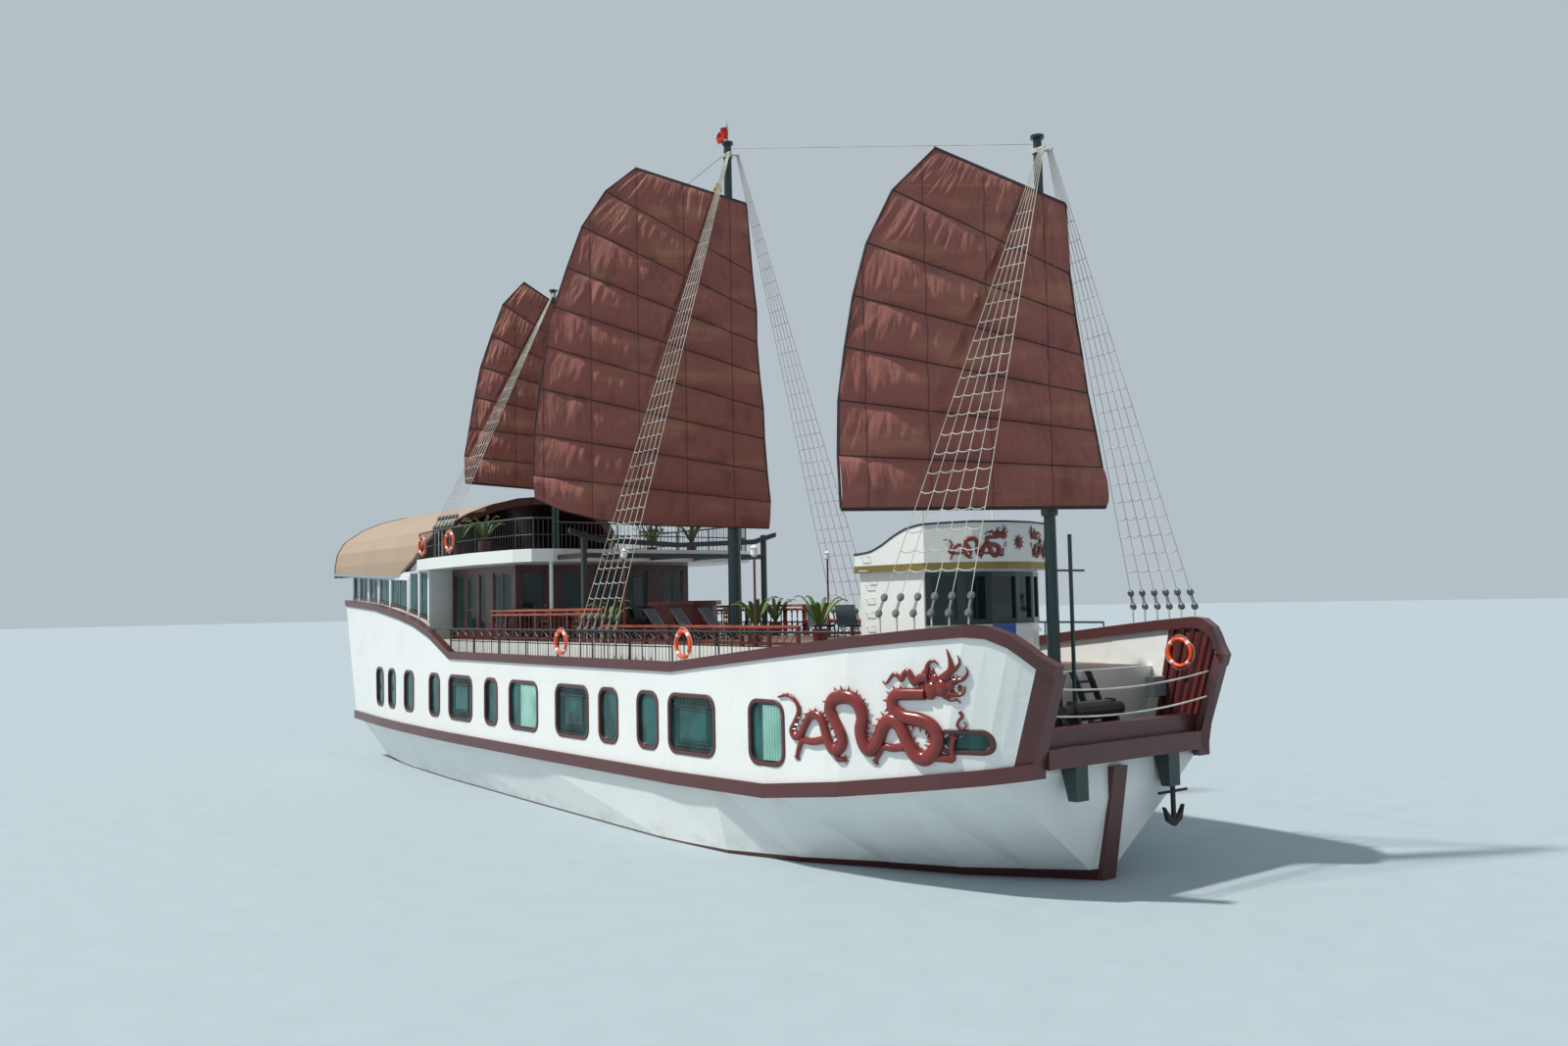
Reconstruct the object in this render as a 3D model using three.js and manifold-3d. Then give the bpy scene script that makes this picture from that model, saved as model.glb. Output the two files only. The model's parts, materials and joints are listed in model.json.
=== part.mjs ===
// A three-masted cruise junk, afloat, at its real size.
// Millimetres. +X runs forward, +Y to port, +Z up. The origin lies amidships on the centreline,
// on the waterline.
import * as THREE from 'three';
import { mergeVertices } from 'three/addons/utils/BufferGeometryUtils.js';
import Module from 'manifold-3d';

const wasm = await Module();
wasm.setup();

// Driving dimensions
const SEAT = 0.4; // gap between two pieces that rest on each other
const RUN = 10; // clearance of a piece that turns on another
const LAP = 80; // how far the lower hull rises into the upper one before it is cut to meet it
const WALL = 100; // bulwark and house wall thickness
const SIDE_DECK = 4300; // top of the side decks
const SUN_DECK = 4950; // top of the raised deck between the side decks
const WELL_DECK = 2950; // top of the bow well's floor
const POOP_DECK = 5270;
const UPPER_DECK = { bottom: 7450, top: 7850 };
const WELL_AFT = 17000; // where the foredeck steps down into the well
const POOP_FRONT = -7850; // where the poop steps down to the side decks
const CAP = { height: 250, proud: 50, width: 250 };
const STRAKE = { height: 320, proud: 80 };
const SAIL_BRACE = 60; // degrees from the centreline, leech to starboard
const SIDES = [['starboard', -1], ['port', 1]];

// Upper hull stations: x at the strake, half breadth, strake height, deck height,
// height of the cap's top, and how far the station leans forward per unit of height.
const UPPER_STATIONS = [
  { x: -17250, half: 3650, strake: 1720, deck: 6240, cap: 6500, rake: -0.28 },
  { x: -17155, half: 3662, strake: 1720, deck: 6230, cap: 6495, rake: -0.28 },
  { x: -17150, half: 3662, strake: 1720, deck: POOP_DECK, cap: 6495, rake: -0.28 },
  { x: -12900, half: 4200, strake: 1720, deck: POOP_DECK, cap: 6270, rake: -0.13 },
  { x: -10000, half: 4480, strake: 1720, deck: POOP_DECK, cap: 5930, rake: -0.04 },
  { x: -8500, half: 4570, strake: 1720, deck: POOP_DECK, cap: 5680, rake: 0 },
  { x: POOP_FRONT - 5, half: 4612, strake: 1720, deck: POOP_DECK, cap: 5531, rake: 0 },
  { x: POOP_FRONT, half: 4612, strake: 1720, deck: SIDE_DECK, cap: 5531, rake: 0 },
  { x: -6800, half: 4680, strake: 1720, deck: SIDE_DECK, cap: 5290, rake: 0 },
  { x: -4850, half: 4760, strake: 1720, deck: SIDE_DECK, cap: 4590, rake: 0 },
  { x: 1000, half: 4850, strake: 1720, deck: SIDE_DECK, cap: 4590, rake: 0 },
  { x: 9200, half: 4850, strake: 1720, deck: SIDE_DECK, cap: 4590, rake: 0 },
  { x: 12900, half: 4740, strake: 1760, deck: SIDE_DECK, cap: 5000, rake: 0.08 },
  { x: 15200, half: 4480, strake: 2000, deck: SIDE_DECK, cap: 5260, rake: 0.15 },
  { x: WELL_AFT - 305, half: 4130, strake: 2200, deck: SIDE_DECK, cap: 5410, rake: 0.2 },
  { x: WELL_AFT - 300, half: 4130, strake: 2200, deck: WELL_DECK, cap: 5410, rake: 0.2 },
  { x: 17700, half: 3850, strake: 2340, deck: WELL_DECK, cap: 5500, rake: 0.27 },
  { x: 18100, half: 3660, strake: 2395, deck: WELL_DECK, cap: 5465, rake: 0.29 },
  { x: 18500, half: 3450, strake: 2450, deck: WELL_DECK, cap: 5290, rake: 0.31 },
  { x: 18750, half: 3285, strake: 2490, deck: WELL_DECK, cap: 5100, rake: 0.3225 },
  { x: 19000, half: 3107, strake: 2530, deck: WELL_DECK, cap: 4890, rake: 0.335 },
];
// The open bow's front, where the strakes, the cap rails and the corner posts end
const BOW_ROW = { x: 19330, half: 2880, strake: 2590, deck: WELL_DECK, cap: 4680, rake: 0.348 };

// Lower hull stations: x, height of the bottom, then half breadth and height at the bilge,
// near the waterline and under the strake.
const LOWER_STATIONS = [
  { x: -17200, keel: 1400, bilge: [2500, 1430], water: [3350, 1500], top: [3600, 1720] },
  { x: -15400, keel: -150, bilge: [2000, -100], water: [3000, 150], top: [3880, 1720] },
  { x: -12000, keel: -1000, bilge: [2000, -820], water: [3400, 0], top: [4280, 1720] },
  { x: -7000, keel: -1700, bilge: [2700, -1350], water: [3780, 0], top: [4660, 1720] },
  { x: 0, keel: -1950, bilge: [3000, -1600], water: [4120, 0], top: [4830, 1720] },
  { x: 8000, keel: -1950, bilge: [3000, -1500], water: [4430, 0], top: [4840, 1720] },
  { x: 10800, keel: -1950, bilge: [2500, -1400], water: [4300, 0], top: [4800, 1730] },
  { x: 12800, keel: -1950, bilge: [1600, -1250], water: [3650, 0], top: [4740, 1760] },
  { x: 14900, keel: -1950, bilge: [850, -1150], water: [2540, 0], top: [4510, 1970] },
  { x: 16400, keel: -1850, bilge: [500, -1000], water: [1850, 0], top: [4190, 2150] },
  { x: 17600, keel: -1300, bilge: [300, -700], water: [930, 0], top: [3865, 2330] },
  { x: 18600, keel: -300, bilge: [180, -150], water: [330, 150], top: [3380, 2470] },
  { x: 19100, keel: 2150, bilge: [150, 2180], water: [900, 2300], top: [3020, 2550] },
];

// Hull windows: x of the centre and width; all share one sill and one head.
const WINDOW_SILL = 2400;
const WINDOW_HEAD = 3750;
const WINDOW_POCKET = 90;
const HULL_WINDOWS = [
  { x: -12870, width: 890 }, { x: -11180, width: 840 }, { x: -9050, width: 940 },
  { x: -6290, width: 890 }, { x: -3930, width: 1820 }, { x: -1460, width: 840 },
  { x: 880, width: 1820 }, { x: 3960, width: 1800 }, { x: 6030, width: 890 },
  { x: 8050, width: 890 }, { x: 10040, width: 1840 }, { x: 12980, width: 1090 },
];
const BOW_PORT = { x: 18250, width: 900, sill: 2980, head: 3330 };

// Materials: the weathered paint, cloth and metal of the vessel
const paint = (color, roughness = 0.6, metalness = 0) =>
  new THREE.MeshStandardMaterial({ color, roughness, metalness });
const LOOK = {
  white: paint('#e4e8e6', 0.5),
  trim: paint('#5a2e2e', 0.55),
  cloth: paint('#6b3a38', 0.95),
  spar: paint('#3a2422', 0.7),
  mast: paint('#0e2a2a', 0.45),
  steel: paint('#1b1e1f', 0.5, 0.6),
  wire: paint('#c9ccc8', 0.6, 0.4),
  wood: paint('#6a2020', 0.5),
  deck: paint('#8b6a4c', 0.8),
  roof: paint('#a99078', 0.85),
  bronze: paint('#8c6b3a', 0.35, 0.9),
  rubber: paint('#17181a', 0.9),
};

// Solids and cuts
function toSolid(geometry) {
  geometry.deleteAttribute('normal');
  geometry.deleteAttribute('uv');
  const merged = mergeVertices(geometry, 1e-3);
  const solid = new wasm.Manifold(new wasm.Mesh({
    numProp: 3,
    vertProperties: new Float32Array(merged.attributes.position.array),
    triVerts: new Uint32Array(merged.index.array),
  }));
  return solid;
}

function toGeometry(solid) {
  const mesh = solid.getMesh();
  const geometry = new THREE.BufferGeometry();
  geometry.setAttribute('position', new THREE.BufferAttribute(mesh.vertProperties, 3));
  geometry.setIndex(new THREE.BufferAttribute(mesh.triVerts, 1));
  geometry.computeVertexNormals();
  return geometry;
}

const joined = (solids) => solids.reduce((whole, solid) => whole.add(solid));
const cutBy = (solid, tools) => tools.reduce((rest, tool) => rest.subtract(tool), solid);

function box([x0, x1], [y0, y1], [z0, z1]) {
  const geometry = new THREE.BoxGeometry(x1 - x0, y1 - y0, z1 - z0);
  geometry.translate((x0 + x1) / 2, (y0 + y1) / 2, (z0 + z1) / 2);
  return toSolid(geometry);
}

// A polygon pushed along one axis. Its points are (x, y) for z, (x, z) for y and (y, z) for x.
function plate(points, axis, [from, to]) {
  const shape = new THREE.Shape(points.map(([a, b]) => new THREE.Vector2(a, b)));
  const geometry = new THREE.ExtrudeGeometry(shape, { depth: to - from, bevelEnabled: false });
  geometry.translate(0, 0, axis === 'y' ? -to : from);
  const turn = {
    x: new THREE.Matrix4().set(0, 0, 1, 0, 1, 0, 0, 0, 0, 1, 0, 0, 0, 0, 0, 1),
    y: new THREE.Matrix4().makeRotationX(Math.PI / 2),
    z: new THREE.Matrix4(),
  };
  geometry.applyMatrix4(turn[axis]);
  return toSolid(geometry);
}

// A round bar from one point to another
function rod(from, to, radius, sides = 8, endRadius = radius) {
  const start = new THREE.Vector3(...from);
  const end = new THREE.Vector3(...to);
  const along = end.clone().sub(start);
  const geometry = new THREE.CylinderGeometry(endRadius, radius, along.length(), sides);
  geometry.translate(0, along.length() / 2, 0);
  geometry.applyQuaternion(new THREE.Quaternion().setFromUnitVectors(
    new THREE.Vector3(0, 1, 0), along.normalize()));
  geometry.translate(start.x, start.y, start.z);
  return toSolid(geometry);
}

// A profile of (radius, z) turned about a vertical axis at (x, y)
function turned(profile, [x, y], segments = 16) {
  const geometry = new THREE.LatheGeometry(profile.map(([r, z]) => new THREE.Vector2(r, z)), segments);
  geometry.rotateX(Math.PI / 2);
  geometry.translate(x, y, 0);
  return toSolid(geometry);
}

// A closed skin through rings of [x, y, z] points with equal counts, in order of rising x
function loft(givenRings) {
  const flat = (ring) => ring.map((point) => new THREE.Vector2(point[1], point[2]));
  const clockwise = THREE.ShapeUtils.isClockWise(flat(givenRings[0]));
  const rings = clockwise ? givenRings.map((ring) => ring.toReversed()) : givenRings;
  const count = rings[0].length;
  const faces = [];
  for (let r = 0; r + 1 < rings.length; r += 1) {
    for (let i = 0; i < count; i += 1) {
      const a = r * count + i;
      const b = r * count + (i + 1) % count;
      faces.push(a, b, b + count, a, b + count, a + count);
    }
  }
  const capFaces = (ring) => THREE.ShapeUtils.triangulateShape(flat(ring), []);
  const last = (rings.length - 1) * count;
  for (const [a, b, c] of capFaces(rings[0])) faces.push(c, b, a);
  for (const [a, b, c] of capFaces(rings.at(-1))) faces.push(last + a, last + b, last + c);
  const geometry = new THREE.BufferGeometry();
  geometry.setAttribute('position', new THREE.BufferAttribute(new Float32Array(rings.flat(2)), 3));
  geometry.setIndex(faces);
  return toSolid(geometry);
}

// A half section of (y, z) points, from the bottom centre outwards, mirrored to a whole ring
function mirrored(half) {
  const other = half.filter(([y]) => y > 0).map(([y, z]) => [-y, z]).reverse();
  return [...half, ...other];
}

const ship = new THREE.Group();
function add(name, solid, material, parent = ship) {
  const mesh = new THREE.Mesh(toGeometry(solid), material);
  mesh.name = name;
  parent.add(mesh);
  return mesh;
}

// A value that runs in straight lines through a table's rows
function along(table, x, read) {
  const next = Math.max(1, table.findIndex((row) => row.x >= x));
  const [a, b] = x > table.at(-1).x ? table.slice(-2) : [table[next - 1], table[next]];
  return THREE.MathUtils.mapLinear(x, a.x, b.x, read(a), read(b));
}

// Hull
const halfAt = (x) => along(UPPER_STATIONS, x, (row) => row.half);
const strakeTop = (row) => row.strake + STRAKE.height / 2;
const leaned = (row, z) => row.x + row.rake * Math.max(0, z - strakeTop(row));
const ringAt = (row, points) => points.map(([y, z]) => [leaned(row, z), y, z]);

// The cap rail's line: its height, and the middle of its width, at any x
const CAP_LINE = [...UPPER_STATIONS, BOW_ROW].map((row) => (
  { x: leaned(row, row.cap), half: row.half, cap: row.cap }));
const capHeightAt = (x) => along(CAP_LINE, x, (row) => row.cap);
const capMiddleAt = (x) => along(CAP_LINE, x, (row) => row.half) + CAP.proud - CAP.width / 2;

const upperHull = () => loft(UPPER_STATIONS.map((row) => {
  const top = row.cap - CAP.height;
  const inner = row.half - WALL;
  return ringAt(row, mirrored([
    [0, row.strake + SEAT], [row.half, row.strake + SEAT], [row.half, strakeTop(row)],
    [row.half, top], [inner, top], [inner, row.deck], [0, row.deck],
  ]));
}));

// The room under the upper hull, by which the lower one is trimmed to meet it
const ROOM = { half: 6000, low: -3000 };
const underStrake = loft(UPPER_STATIONS.map((row) => (
  [[-ROOM.half, ROOM.low], [ROOM.half, ROOM.low], [ROOM.half, row.strake], [-ROOM.half, row.strake]]
    .map(([y, z]) => [row.x, y, z]))));

function lowerHull() {
  const skin = loft(LOWER_STATIONS.map((row) => mirrored([
    [0, row.keel], row.bilge, row.water, [row.top[0], row.top[1] + LAP], [0, row.top[1] + LAP],
  ]).map(([y, z]) => [row.x, y, z])));
  return skin.intersect(underStrake);
}

const roundedSlot = (centre, width, sill, head, corner = 130) => {
  const [left, right] = [centre - width / 2, centre + width / 2];
  return [
    [left + corner, sill], [right - corner, sill], [right, sill + corner], [right, head - corner],
    [right - corner, head], [left + corner, head], [left, head - corner], [left, sill + corner],
  ];
};

function windowPockets() {
  const rows = HULL_WINDOWS.map((row) => ({ ...row, sill: WINDOW_SILL, head: WINDOW_HEAD }));
  return SIDES.flatMap(([, side]) => [...rows, BOW_PORT].map((row) => {
    const skin = Math.min(halfAt(row.x - row.width / 2), halfAt(row.x + row.width / 2));
    const reach = [skin - WINDOW_POCKET, skin + 1000].map((y) => side * y).sort((a, b) => a - b);
    return plate(roundedSlot(row.x, row.width, row.sill, row.head), 'y', reach);
  }));
}

// Stem trunk: a raked box that runs down the bow from the front beam to the forefoot
const STEM = { half: 225, top: [19180, 2429], water: [18760, 0], foot: [18000, -1750], depth: 650 };
const stemOutline = (grow) => [
  [STEM.top[0] + grow, STEM.top[1] + grow], [STEM.water[0] + grow, STEM.water[1]],
  [STEM.foot[0] + grow, STEM.foot[1] - grow], [STEM.foot[0] - STEM.depth - grow, STEM.foot[1] - grow],
  [STEM.water[0] - STEM.depth - grow, STEM.water[1]], [STEM.top[0] - STEM.depth - grow, STEM.top[1] + grow],
];
const stemTrunk = (grow) => plate(stemOutline(grow), 'y', [-STEM.half - grow, STEM.half + grow]);

const KEEL = { half: 150, bottom: -2200, aft: -11500, fore: 17000 };
const keelBar = plate([
  [KEEL.aft, -1000], [KEEL.aft + 500, KEEL.bottom], [KEEL.fore - 1500, KEEL.bottom], [KEEL.fore, -1500],
], 'y', [-KEEL.half, KEEL.half]);

const SHAFT = { y: 1500, z: -1500, radius: 60, from: -8000, to: -13465 + SEAT };
const STRUT = { x: -12900, half: 45, top: -500 };
const RUDDER = { x: -14800, y: 1500, top: -640, bottom: -1950, fore: 250, aft: 750, stock: 60 };
const BOSS = { radius: 140, top: -200, bottom: -520 };
const drive = SIDES.flatMap(([, side]) => {
  const y = side * SHAFT.y;
  const bore = rod([RUDDER.x, y, BOSS.bottom - 10], [RUDDER.x, y, BOSS.bottom + 200], RUDDER.stock + RUN, 12);
  return [
    rod([SHAFT.from, y, SHAFT.z], [SHAFT.to, y, SHAFT.z], SHAFT.radius, 12),
    box([STRUT.x - 150, STRUT.x + 150], [y - STRUT.half, y + STRUT.half], [SHAFT.z, STRUT.top]),
    rod([RUDDER.x, y, BOSS.bottom], [RUDDER.x, y, BOSS.top], BOSS.radius, 12).subtract(bore),
  ];
});
add('hull_lower', cutBy(joined([lowerHull(), keelBar, ...drive]), [stemTrunk(SEAT)]), LOOK.white);
add('stem_trunk', stemTrunk(0), LOOK.trim);
add('hull_upper', cutBy(upperHull(), windowPockets()), LOOK.white);

// Propellers and rudders
const PROPELLER = { x: -13600, hub: 110, length: 270, tip: 500, blades: 4, pitch: 28, thick: 24 };
function propeller() {
  const hub = turned([
    [0, -PROPELLER.length / 2], [PROPELLER.hub, -PROPELLER.length / 2],
    [PROPELLER.hub, PROPELLER.length / 2 - 60], [0, PROPELLER.length / 2],
  ], [0, 0], 12);
  const blade = [[-70, 60], [70, 60], [170, 250], [150, 420], [0, PROPELLER.tip], [-150, 420], [-170, 250]];
  const blades = Array.from({ length: PROPELLER.blades }, (_, i) => (
    plate(blade, 'y', [-PROPELLER.thick / 2, PROPELLER.thick / 2])
      .rotate([0, 0, PROPELLER.pitch]).rotate([(360 / PROPELLER.blades) * i, 0, 0])));
  return joined([hub.rotate([0, -90, 0]), ...blades]);
}
for (const [name, side] of SIDES) {
  const mesh = add(`propeller_${name}`, propeller(), LOOK.bronze);
  mesh.position.set(PROPELLER.x, side * SHAFT.y, SHAFT.z);
  const y = side * RUDDER.y;
  const blade = plate([
    [RUDDER.x - RUDDER.aft, y], [RUDDER.x - 200, y - 55], [RUDDER.x + RUDDER.fore, y - 25],
    [RUDDER.x + RUDDER.fore, y + 25], [RUDDER.x - 200, y + 55],
  ], 'z', [RUDDER.bottom, RUDDER.top]);
  const stock = rod([RUDDER.x, y, RUDDER.bottom + 100],
    [RUDDER.x, y, BOSS.bottom + 200 - SEAT], RUDDER.stock, 12);
  add(`rudder_${name}`, blade.add(stock), LOOK.steel);
}

// Bands along the hull: the rubbing strake, and the cap that tops the bulwark and the bow's corner post
const band = (side, rows, section) => loft(rows.map((row) => (
  ringAt(row, section(row).map(([y, z]) => [side * y, z])))));
const strakeSection = (row) => {
  const low = row.strake - STRAKE.height / 2;
  const [inner, outer] = [row.half + SEAT, row.half + STRAKE.proud];
  return [[inner, low], [outer, low], [outer, strakeTop(row)], [inner, strakeTop(row)]];
};
const capSection = (row) => {
  const [inner, outer] = [row.half + CAP.proud - CAP.width, row.half + CAP.proud];
  const low = row.cap - CAP.height + SEAT;
  return [[inner, low], [outer, low], [outer, row.cap], [inner, row.cap]];
};
const BOW_POST = { width: 330, low: 2430, lap: 60 };
const postSection = (row) => {
  const inner = row.half - BOW_POST.width;
  const high = row.cap - CAP.height + BOW_POST.lap;
  return [[inner, BOW_POST.low], [row.half, BOW_POST.low], [row.half, strakeTop(row)],
    [row.half, high], [inner, high], [inner, strakeTop(row)]];
};
const postRows = [{ ...UPPER_STATIONS.at(-1), x: UPPER_STATIONS.at(-1).x + SEAT }, BOW_ROW];
for (const [name, side] of SIDES) {
  const rows = [...UPPER_STATIONS, BOW_ROW];
  add(`strake_${name}`, band(side, rows, strakeSection), LOOK.trim);
  add(`cap_rail_${name}`, band(side, rows, capSection).add(band(side, postRows, postSection)), LOOK.trim);
}

// Bow: the beams across its open front, the hawse brackets below them, the anchor and the well's gear
const BEAM = { x: [19110, 19420], half: 2540, z: [2590, 2990] };
const COAMING = { x: [18900, 19200], half: 2680, z: [WELL_DECK + SEAT, 3350] };
const beamBox = ({ x, half, z }) => box(x, [-half, half], z);
add('bow_beam', beamBox(BEAM).add(beamBox(COAMING)), LOOK.trim);

const BRACKET = { y: 1540, width: 380, foot: 1880 };
for (const [name, side] of SIDES) {
  const y = side * BRACKET.y;
  const top = BEAM.z[0] - SEAT;
  add(`hawse_bracket_${name}`, plate([
    [19040, top], [19040, top - 160], [19180, BRACKET.foot], [19400, BRACKET.foot], [19400, top],
  ], 'y', [y - BRACKET.width / 2, y + BRACKET.width / 2]), LOOK.mast);
}
const ANCHOR = { x: 19290, y: 1600, top: BRACKET.foot - SEAT, crown: 1020, stock: 500 };
add('anchor', joined([
  box([ANCHOR.x - 35, ANCHOR.x + 35], [ANCHOR.y - 45, ANCHOR.y + 45], [ANCHOR.crown, ANCHOR.top]),
  plate([
    [0, -20], [240, 110], [340, 420], [190, 240], [0, 130], [-190, 240], [-340, 420], [-240, 110],
  ].map(([y, z]) => [ANCHOR.y + y, ANCHOR.crown + z]), 'x', [ANCHOR.x - 50, ANCHOR.x + 50]),
  rod([ANCHOR.x, ANCHOR.y - ANCHOR.stock, ANCHOR.top - 130],
    [ANCHOR.x, ANCHOR.y + ANCHOR.stock, ANCHOR.top - 130], 32, 8),
]), LOOK.steel);

const WINDLASS = { x: 18450, half: 700, drum: 210, axle: 3560, cheek: 80, head: 150 };
const windlassRoll = (half, radius) => (
  rod([WINDLASS.x, -half, WINDLASS.axle], [WINDLASS.x, half, WINDLASS.axle], radius, 12));
add('windlass', joined([
  box([WINDLASS.x - 320, WINDLASS.x + 320], [-WINDLASS.half, WINDLASS.half],
    [WELL_DECK + SEAT, WELL_DECK + 180]),
  ...SIDES.map(([, side]) => {
    const middle = side * (WINDLASS.half - 60);
    return plate([
      [WINDLASS.x - 280, WELL_DECK + 100], [WINDLASS.x + 280, WELL_DECK + 100],
      [WINDLASS.x + 110, WINDLASS.axle + 230], [WINDLASS.x - 110, WINDLASS.axle + 230],
    ], 'y', [middle - WINDLASS.cheek / 2, middle + WINDLASS.cheek / 2]);
  }),
  windlassRoll(WINDLASS.half - 20, WINDLASS.drum),
  windlassRoll(WINDLASS.half + 260, WINDLASS.head),
]), LOOK.steel);

const LADDER = { y: [900, 1500], stringer: 50, treads: 5 };
const ladderX = (z) => THREE.MathUtils.mapLinear(z, WELL_DECK, SIDE_DECK, 17800, 17180);
add('bow_ladder', joined([
  ...[LADDER.y[0], LADDER.y[1] - LADDER.stringer].map((y) => plate([
    [ladderX(WELL_DECK) - 80, WELL_DECK + SEAT], [ladderX(WELL_DECK) + 80, WELL_DECK + SEAT],
    [ladderX(SIDE_DECK) + 80, SIDE_DECK], [ladderX(SIDE_DECK) - 80, SIDE_DECK],
  ], 'y', [y, y + LADDER.stringer])),
  ...Array.from({ length: LADDER.treads }, (_, i) => {
    const z = THREE.MathUtils.mapLinear(i + 1, 0, LADDER.treads + 1, WELL_DECK, SIDE_DECK);
    return box([ladderX(z) - 110, ladderX(z) + 110], [LADDER.y[0] + 20, LADDER.y[1] - 20], [z - 20, z + 20]);
  }),
]), LOOK.wood);

// An outline drawn in by a distance, corner by corner
function inset(points, distance) {
  const turn = THREE.ShapeUtils.isClockWise(points.map(([x, y]) => new THREE.Vector2(x, y))) ? -1 : 1;
  return points.map(([x, y], i) => {
    const [px, py] = points[(i + points.length - 1) % points.length];
    const [nx, ny] = points[(i + 1) % points.length];
    const before = new THREE.Vector2(x - px, y - py).normalize();
    const after = new THREE.Vector2(nx - x, ny - y).normalize();
    const reach = (turn * distance) / (1 + before.dot(after));
    return [x - (before.y + after.y) * reach, y + (before.x + after.x) * reach];
  });
}
const ribbon = (points, thickness, [low, high]) => (
  plate(points, 'z', [low, high]).subtract(plate(inset(points, thickness), 'z', [low - 100, high + 100])));
const bothSides = (half) => [...half, ...half.map(([x, y]) => [x, -y]).reverse()];
const OUT = 6000; // past the hull's side, for a cut through both walls of a house

// Wheelhouse
const WHEELHOUSE = { wall: 80, top: 6680, sill: 5520, head: 6560 };
const WHEEL_DOOR = { x: [13700, 14500], z: [4350, 6350], gap: 6, leaf: 40, y: 1930 };
const wheelPlan = bothSides([[13140, 1930], [15340, 1930], [15800, 1200], [15980, 400]]);
// The front windows' spans of y
const WHEEL_WINDOWS = [[-1810, -1270], [-1120, -560], [-420, 420], [560, 1120], [1270, 1810]];
add('wheelhouse', cutBy(ribbon(wheelPlan, WHEELHOUSE.wall, [SIDE_DECK + SEAT, WHEELHOUSE.top - SEAT]), [
  ...WHEEL_WINDOWS.map((y) => box([15200, OUT * 3], y, [WHEELHOUSE.sill, WHEELHOUSE.head])),
  box(WHEEL_DOOR.x, [1000, OUT], WHEEL_DOOR.z),
]), LOOK.white);
const doorLeaf = ({ x, z, gap, leaf, y }, side = 1) => {
  const reach = [side * (y - leaf), side * y].sort((a, b) => a - b);
  return box([x[0] + gap, x[1] - gap], reach, [z[0] + SEAT, z[1] - gap]);
};
add('wheelhouse_door', doorLeaf(WHEEL_DOOR), LOOK.wood);

const PARAPET = { slab: 6800, top: 7780, wall: 90 };
const roofPlan = bothSides([[13100, 2050], [15500, 2050], [16250, 1250], [16500, 400]]);
const parapet = ribbon(roofPlan, PARAPET.wall, [WHEELHOUSE.top, PARAPET.top]);
const aboveParapet = plate([
  [12000, 7120], [13150, 7120], [13650, 7160], [14050, 7290], [14450, 7480], [14850, 7630], [15250, 7700],
  [15850, 7740], [17000, PARAPET.top], [17000, PARAPET.top + 500], [12000, PARAPET.top + 500],
], 'y', [-OUT, OUT]);
add('wheelhouse_roof', joined([
  plate(roofPlan, 'z', [WHEELHOUSE.top, PARAPET.slab]), parapet.subtract(aboveParapet),
]), LOOK.white);

// Raised deck, deckhouse and poop house
const SUN = { x: [POOP_FRONT + SEAT, 13130], half: 3850 };
add('sun_deck', box(SUN.x, [-SUN.half, SUN.half], [SIDE_DECK + SEAT, SUN_DECK]), LOOK.deck);

const DECKHOUSE = { x: [-7750, -2560], half: 3420, wall: 80 };
const GLAZING = { low: SUN_DECK + 50, step: SUN_DECK + 300, sill: 5450, head: 7230 };
const HOUSE_DOOR = { x: [-6500, -5600], z: [GLAZING.low, GLAZING.head], gap: 6, leaf: 40, y: DECKHOUSE.half };
const HOUSE_SIDE_OPENINGS = [
  { x: HOUSE_DOOR.x, sill: GLAZING.low }, { x: [-7600, -6650], sill: GLAZING.step },
  { x: [-5450, -4900], sill: GLAZING.step }, { x: [-4300, -2870], sill: GLAZING.sill },
];
const HOUSE_FRONT_OPENINGS = [
  { y: [-450, 450], sill: GLAZING.low }, { y: [-3200, -2300], sill: GLAZING.sill },
  { y: [-1700, -850], sill: GLAZING.sill }, { y: [850, 1700], sill: GLAZING.sill },
  { y: [2300, 3200], sill: GLAZING.sill },
];
const deckhousePlan = bothSides(DECKHOUSE.x.toReversed().map((x) => [x, DECKHOUSE.half]));
add('deckhouse', cutBy(
  ribbon(deckhousePlan, DECKHOUSE.wall, [SUN_DECK + SEAT, UPPER_DECK.bottom - SEAT]), [
    ...HOUSE_SIDE_OPENINGS.map(({ x, sill }) => box(x, [-OUT, OUT], [sill, GLAZING.head])),
    ...HOUSE_FRONT_OPENINGS.map(({ y, sill }) => box([DECKHOUSE.x[1] - 200, 0], y, [sill, GLAZING.head])),
  ]), LOOK.white);
for (const [name, side] of SIDES) add(`deckhouse_door_${name}`, doorLeaf(HOUSE_DOOR, side), LOOK.wood);

// Barrel roof: half of its outer and inner arch from the crown down, as (y, z)
const ARCH_OUT = [
  [0, 10200], [1000, 10100], [2000, 9850], [2850, 9500], [3650, 8950], [3950, 8450], [4050, 7900],
  [4060, 7200],
];
const ARCH_IN = [
  [0, 10080], [970, 9985], [1940, 9740], [2770, 9400], [3540, 8880], [3830, 8420], [3930, 7900], [3940, 7200],
];
const arch = (half) => [...half.toReversed(), ...half.slice(1).map(([y, z]) => [-y, z])];
// Its lower edge from aft as (x, z): the eave, then the front that rakes up and forward to the crown
const EAVE = [
  [-18750, 7600], [-11200, 7290], [-9400, 7990], [-8560, 8690], [-7900, 9230], [-7500, 9600], [-7200, 10300],
];
const eaveAt = (x) => THREE.MathUtils.mapLinear(x, EAVE[0][0], EAVE[1][0], EAVE[0][1], EAVE[1][1]);
const FAR_AFT = -19000;
const SOFFIT = { y: [3300, 3960], down: 60, up: 30 };
const ROOF_POST = { x: -8400, y: 3500, top: 8990, radius: 55 };
const RIM = { long: 150, lap: 50, deep: 130, back: 3 };

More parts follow.
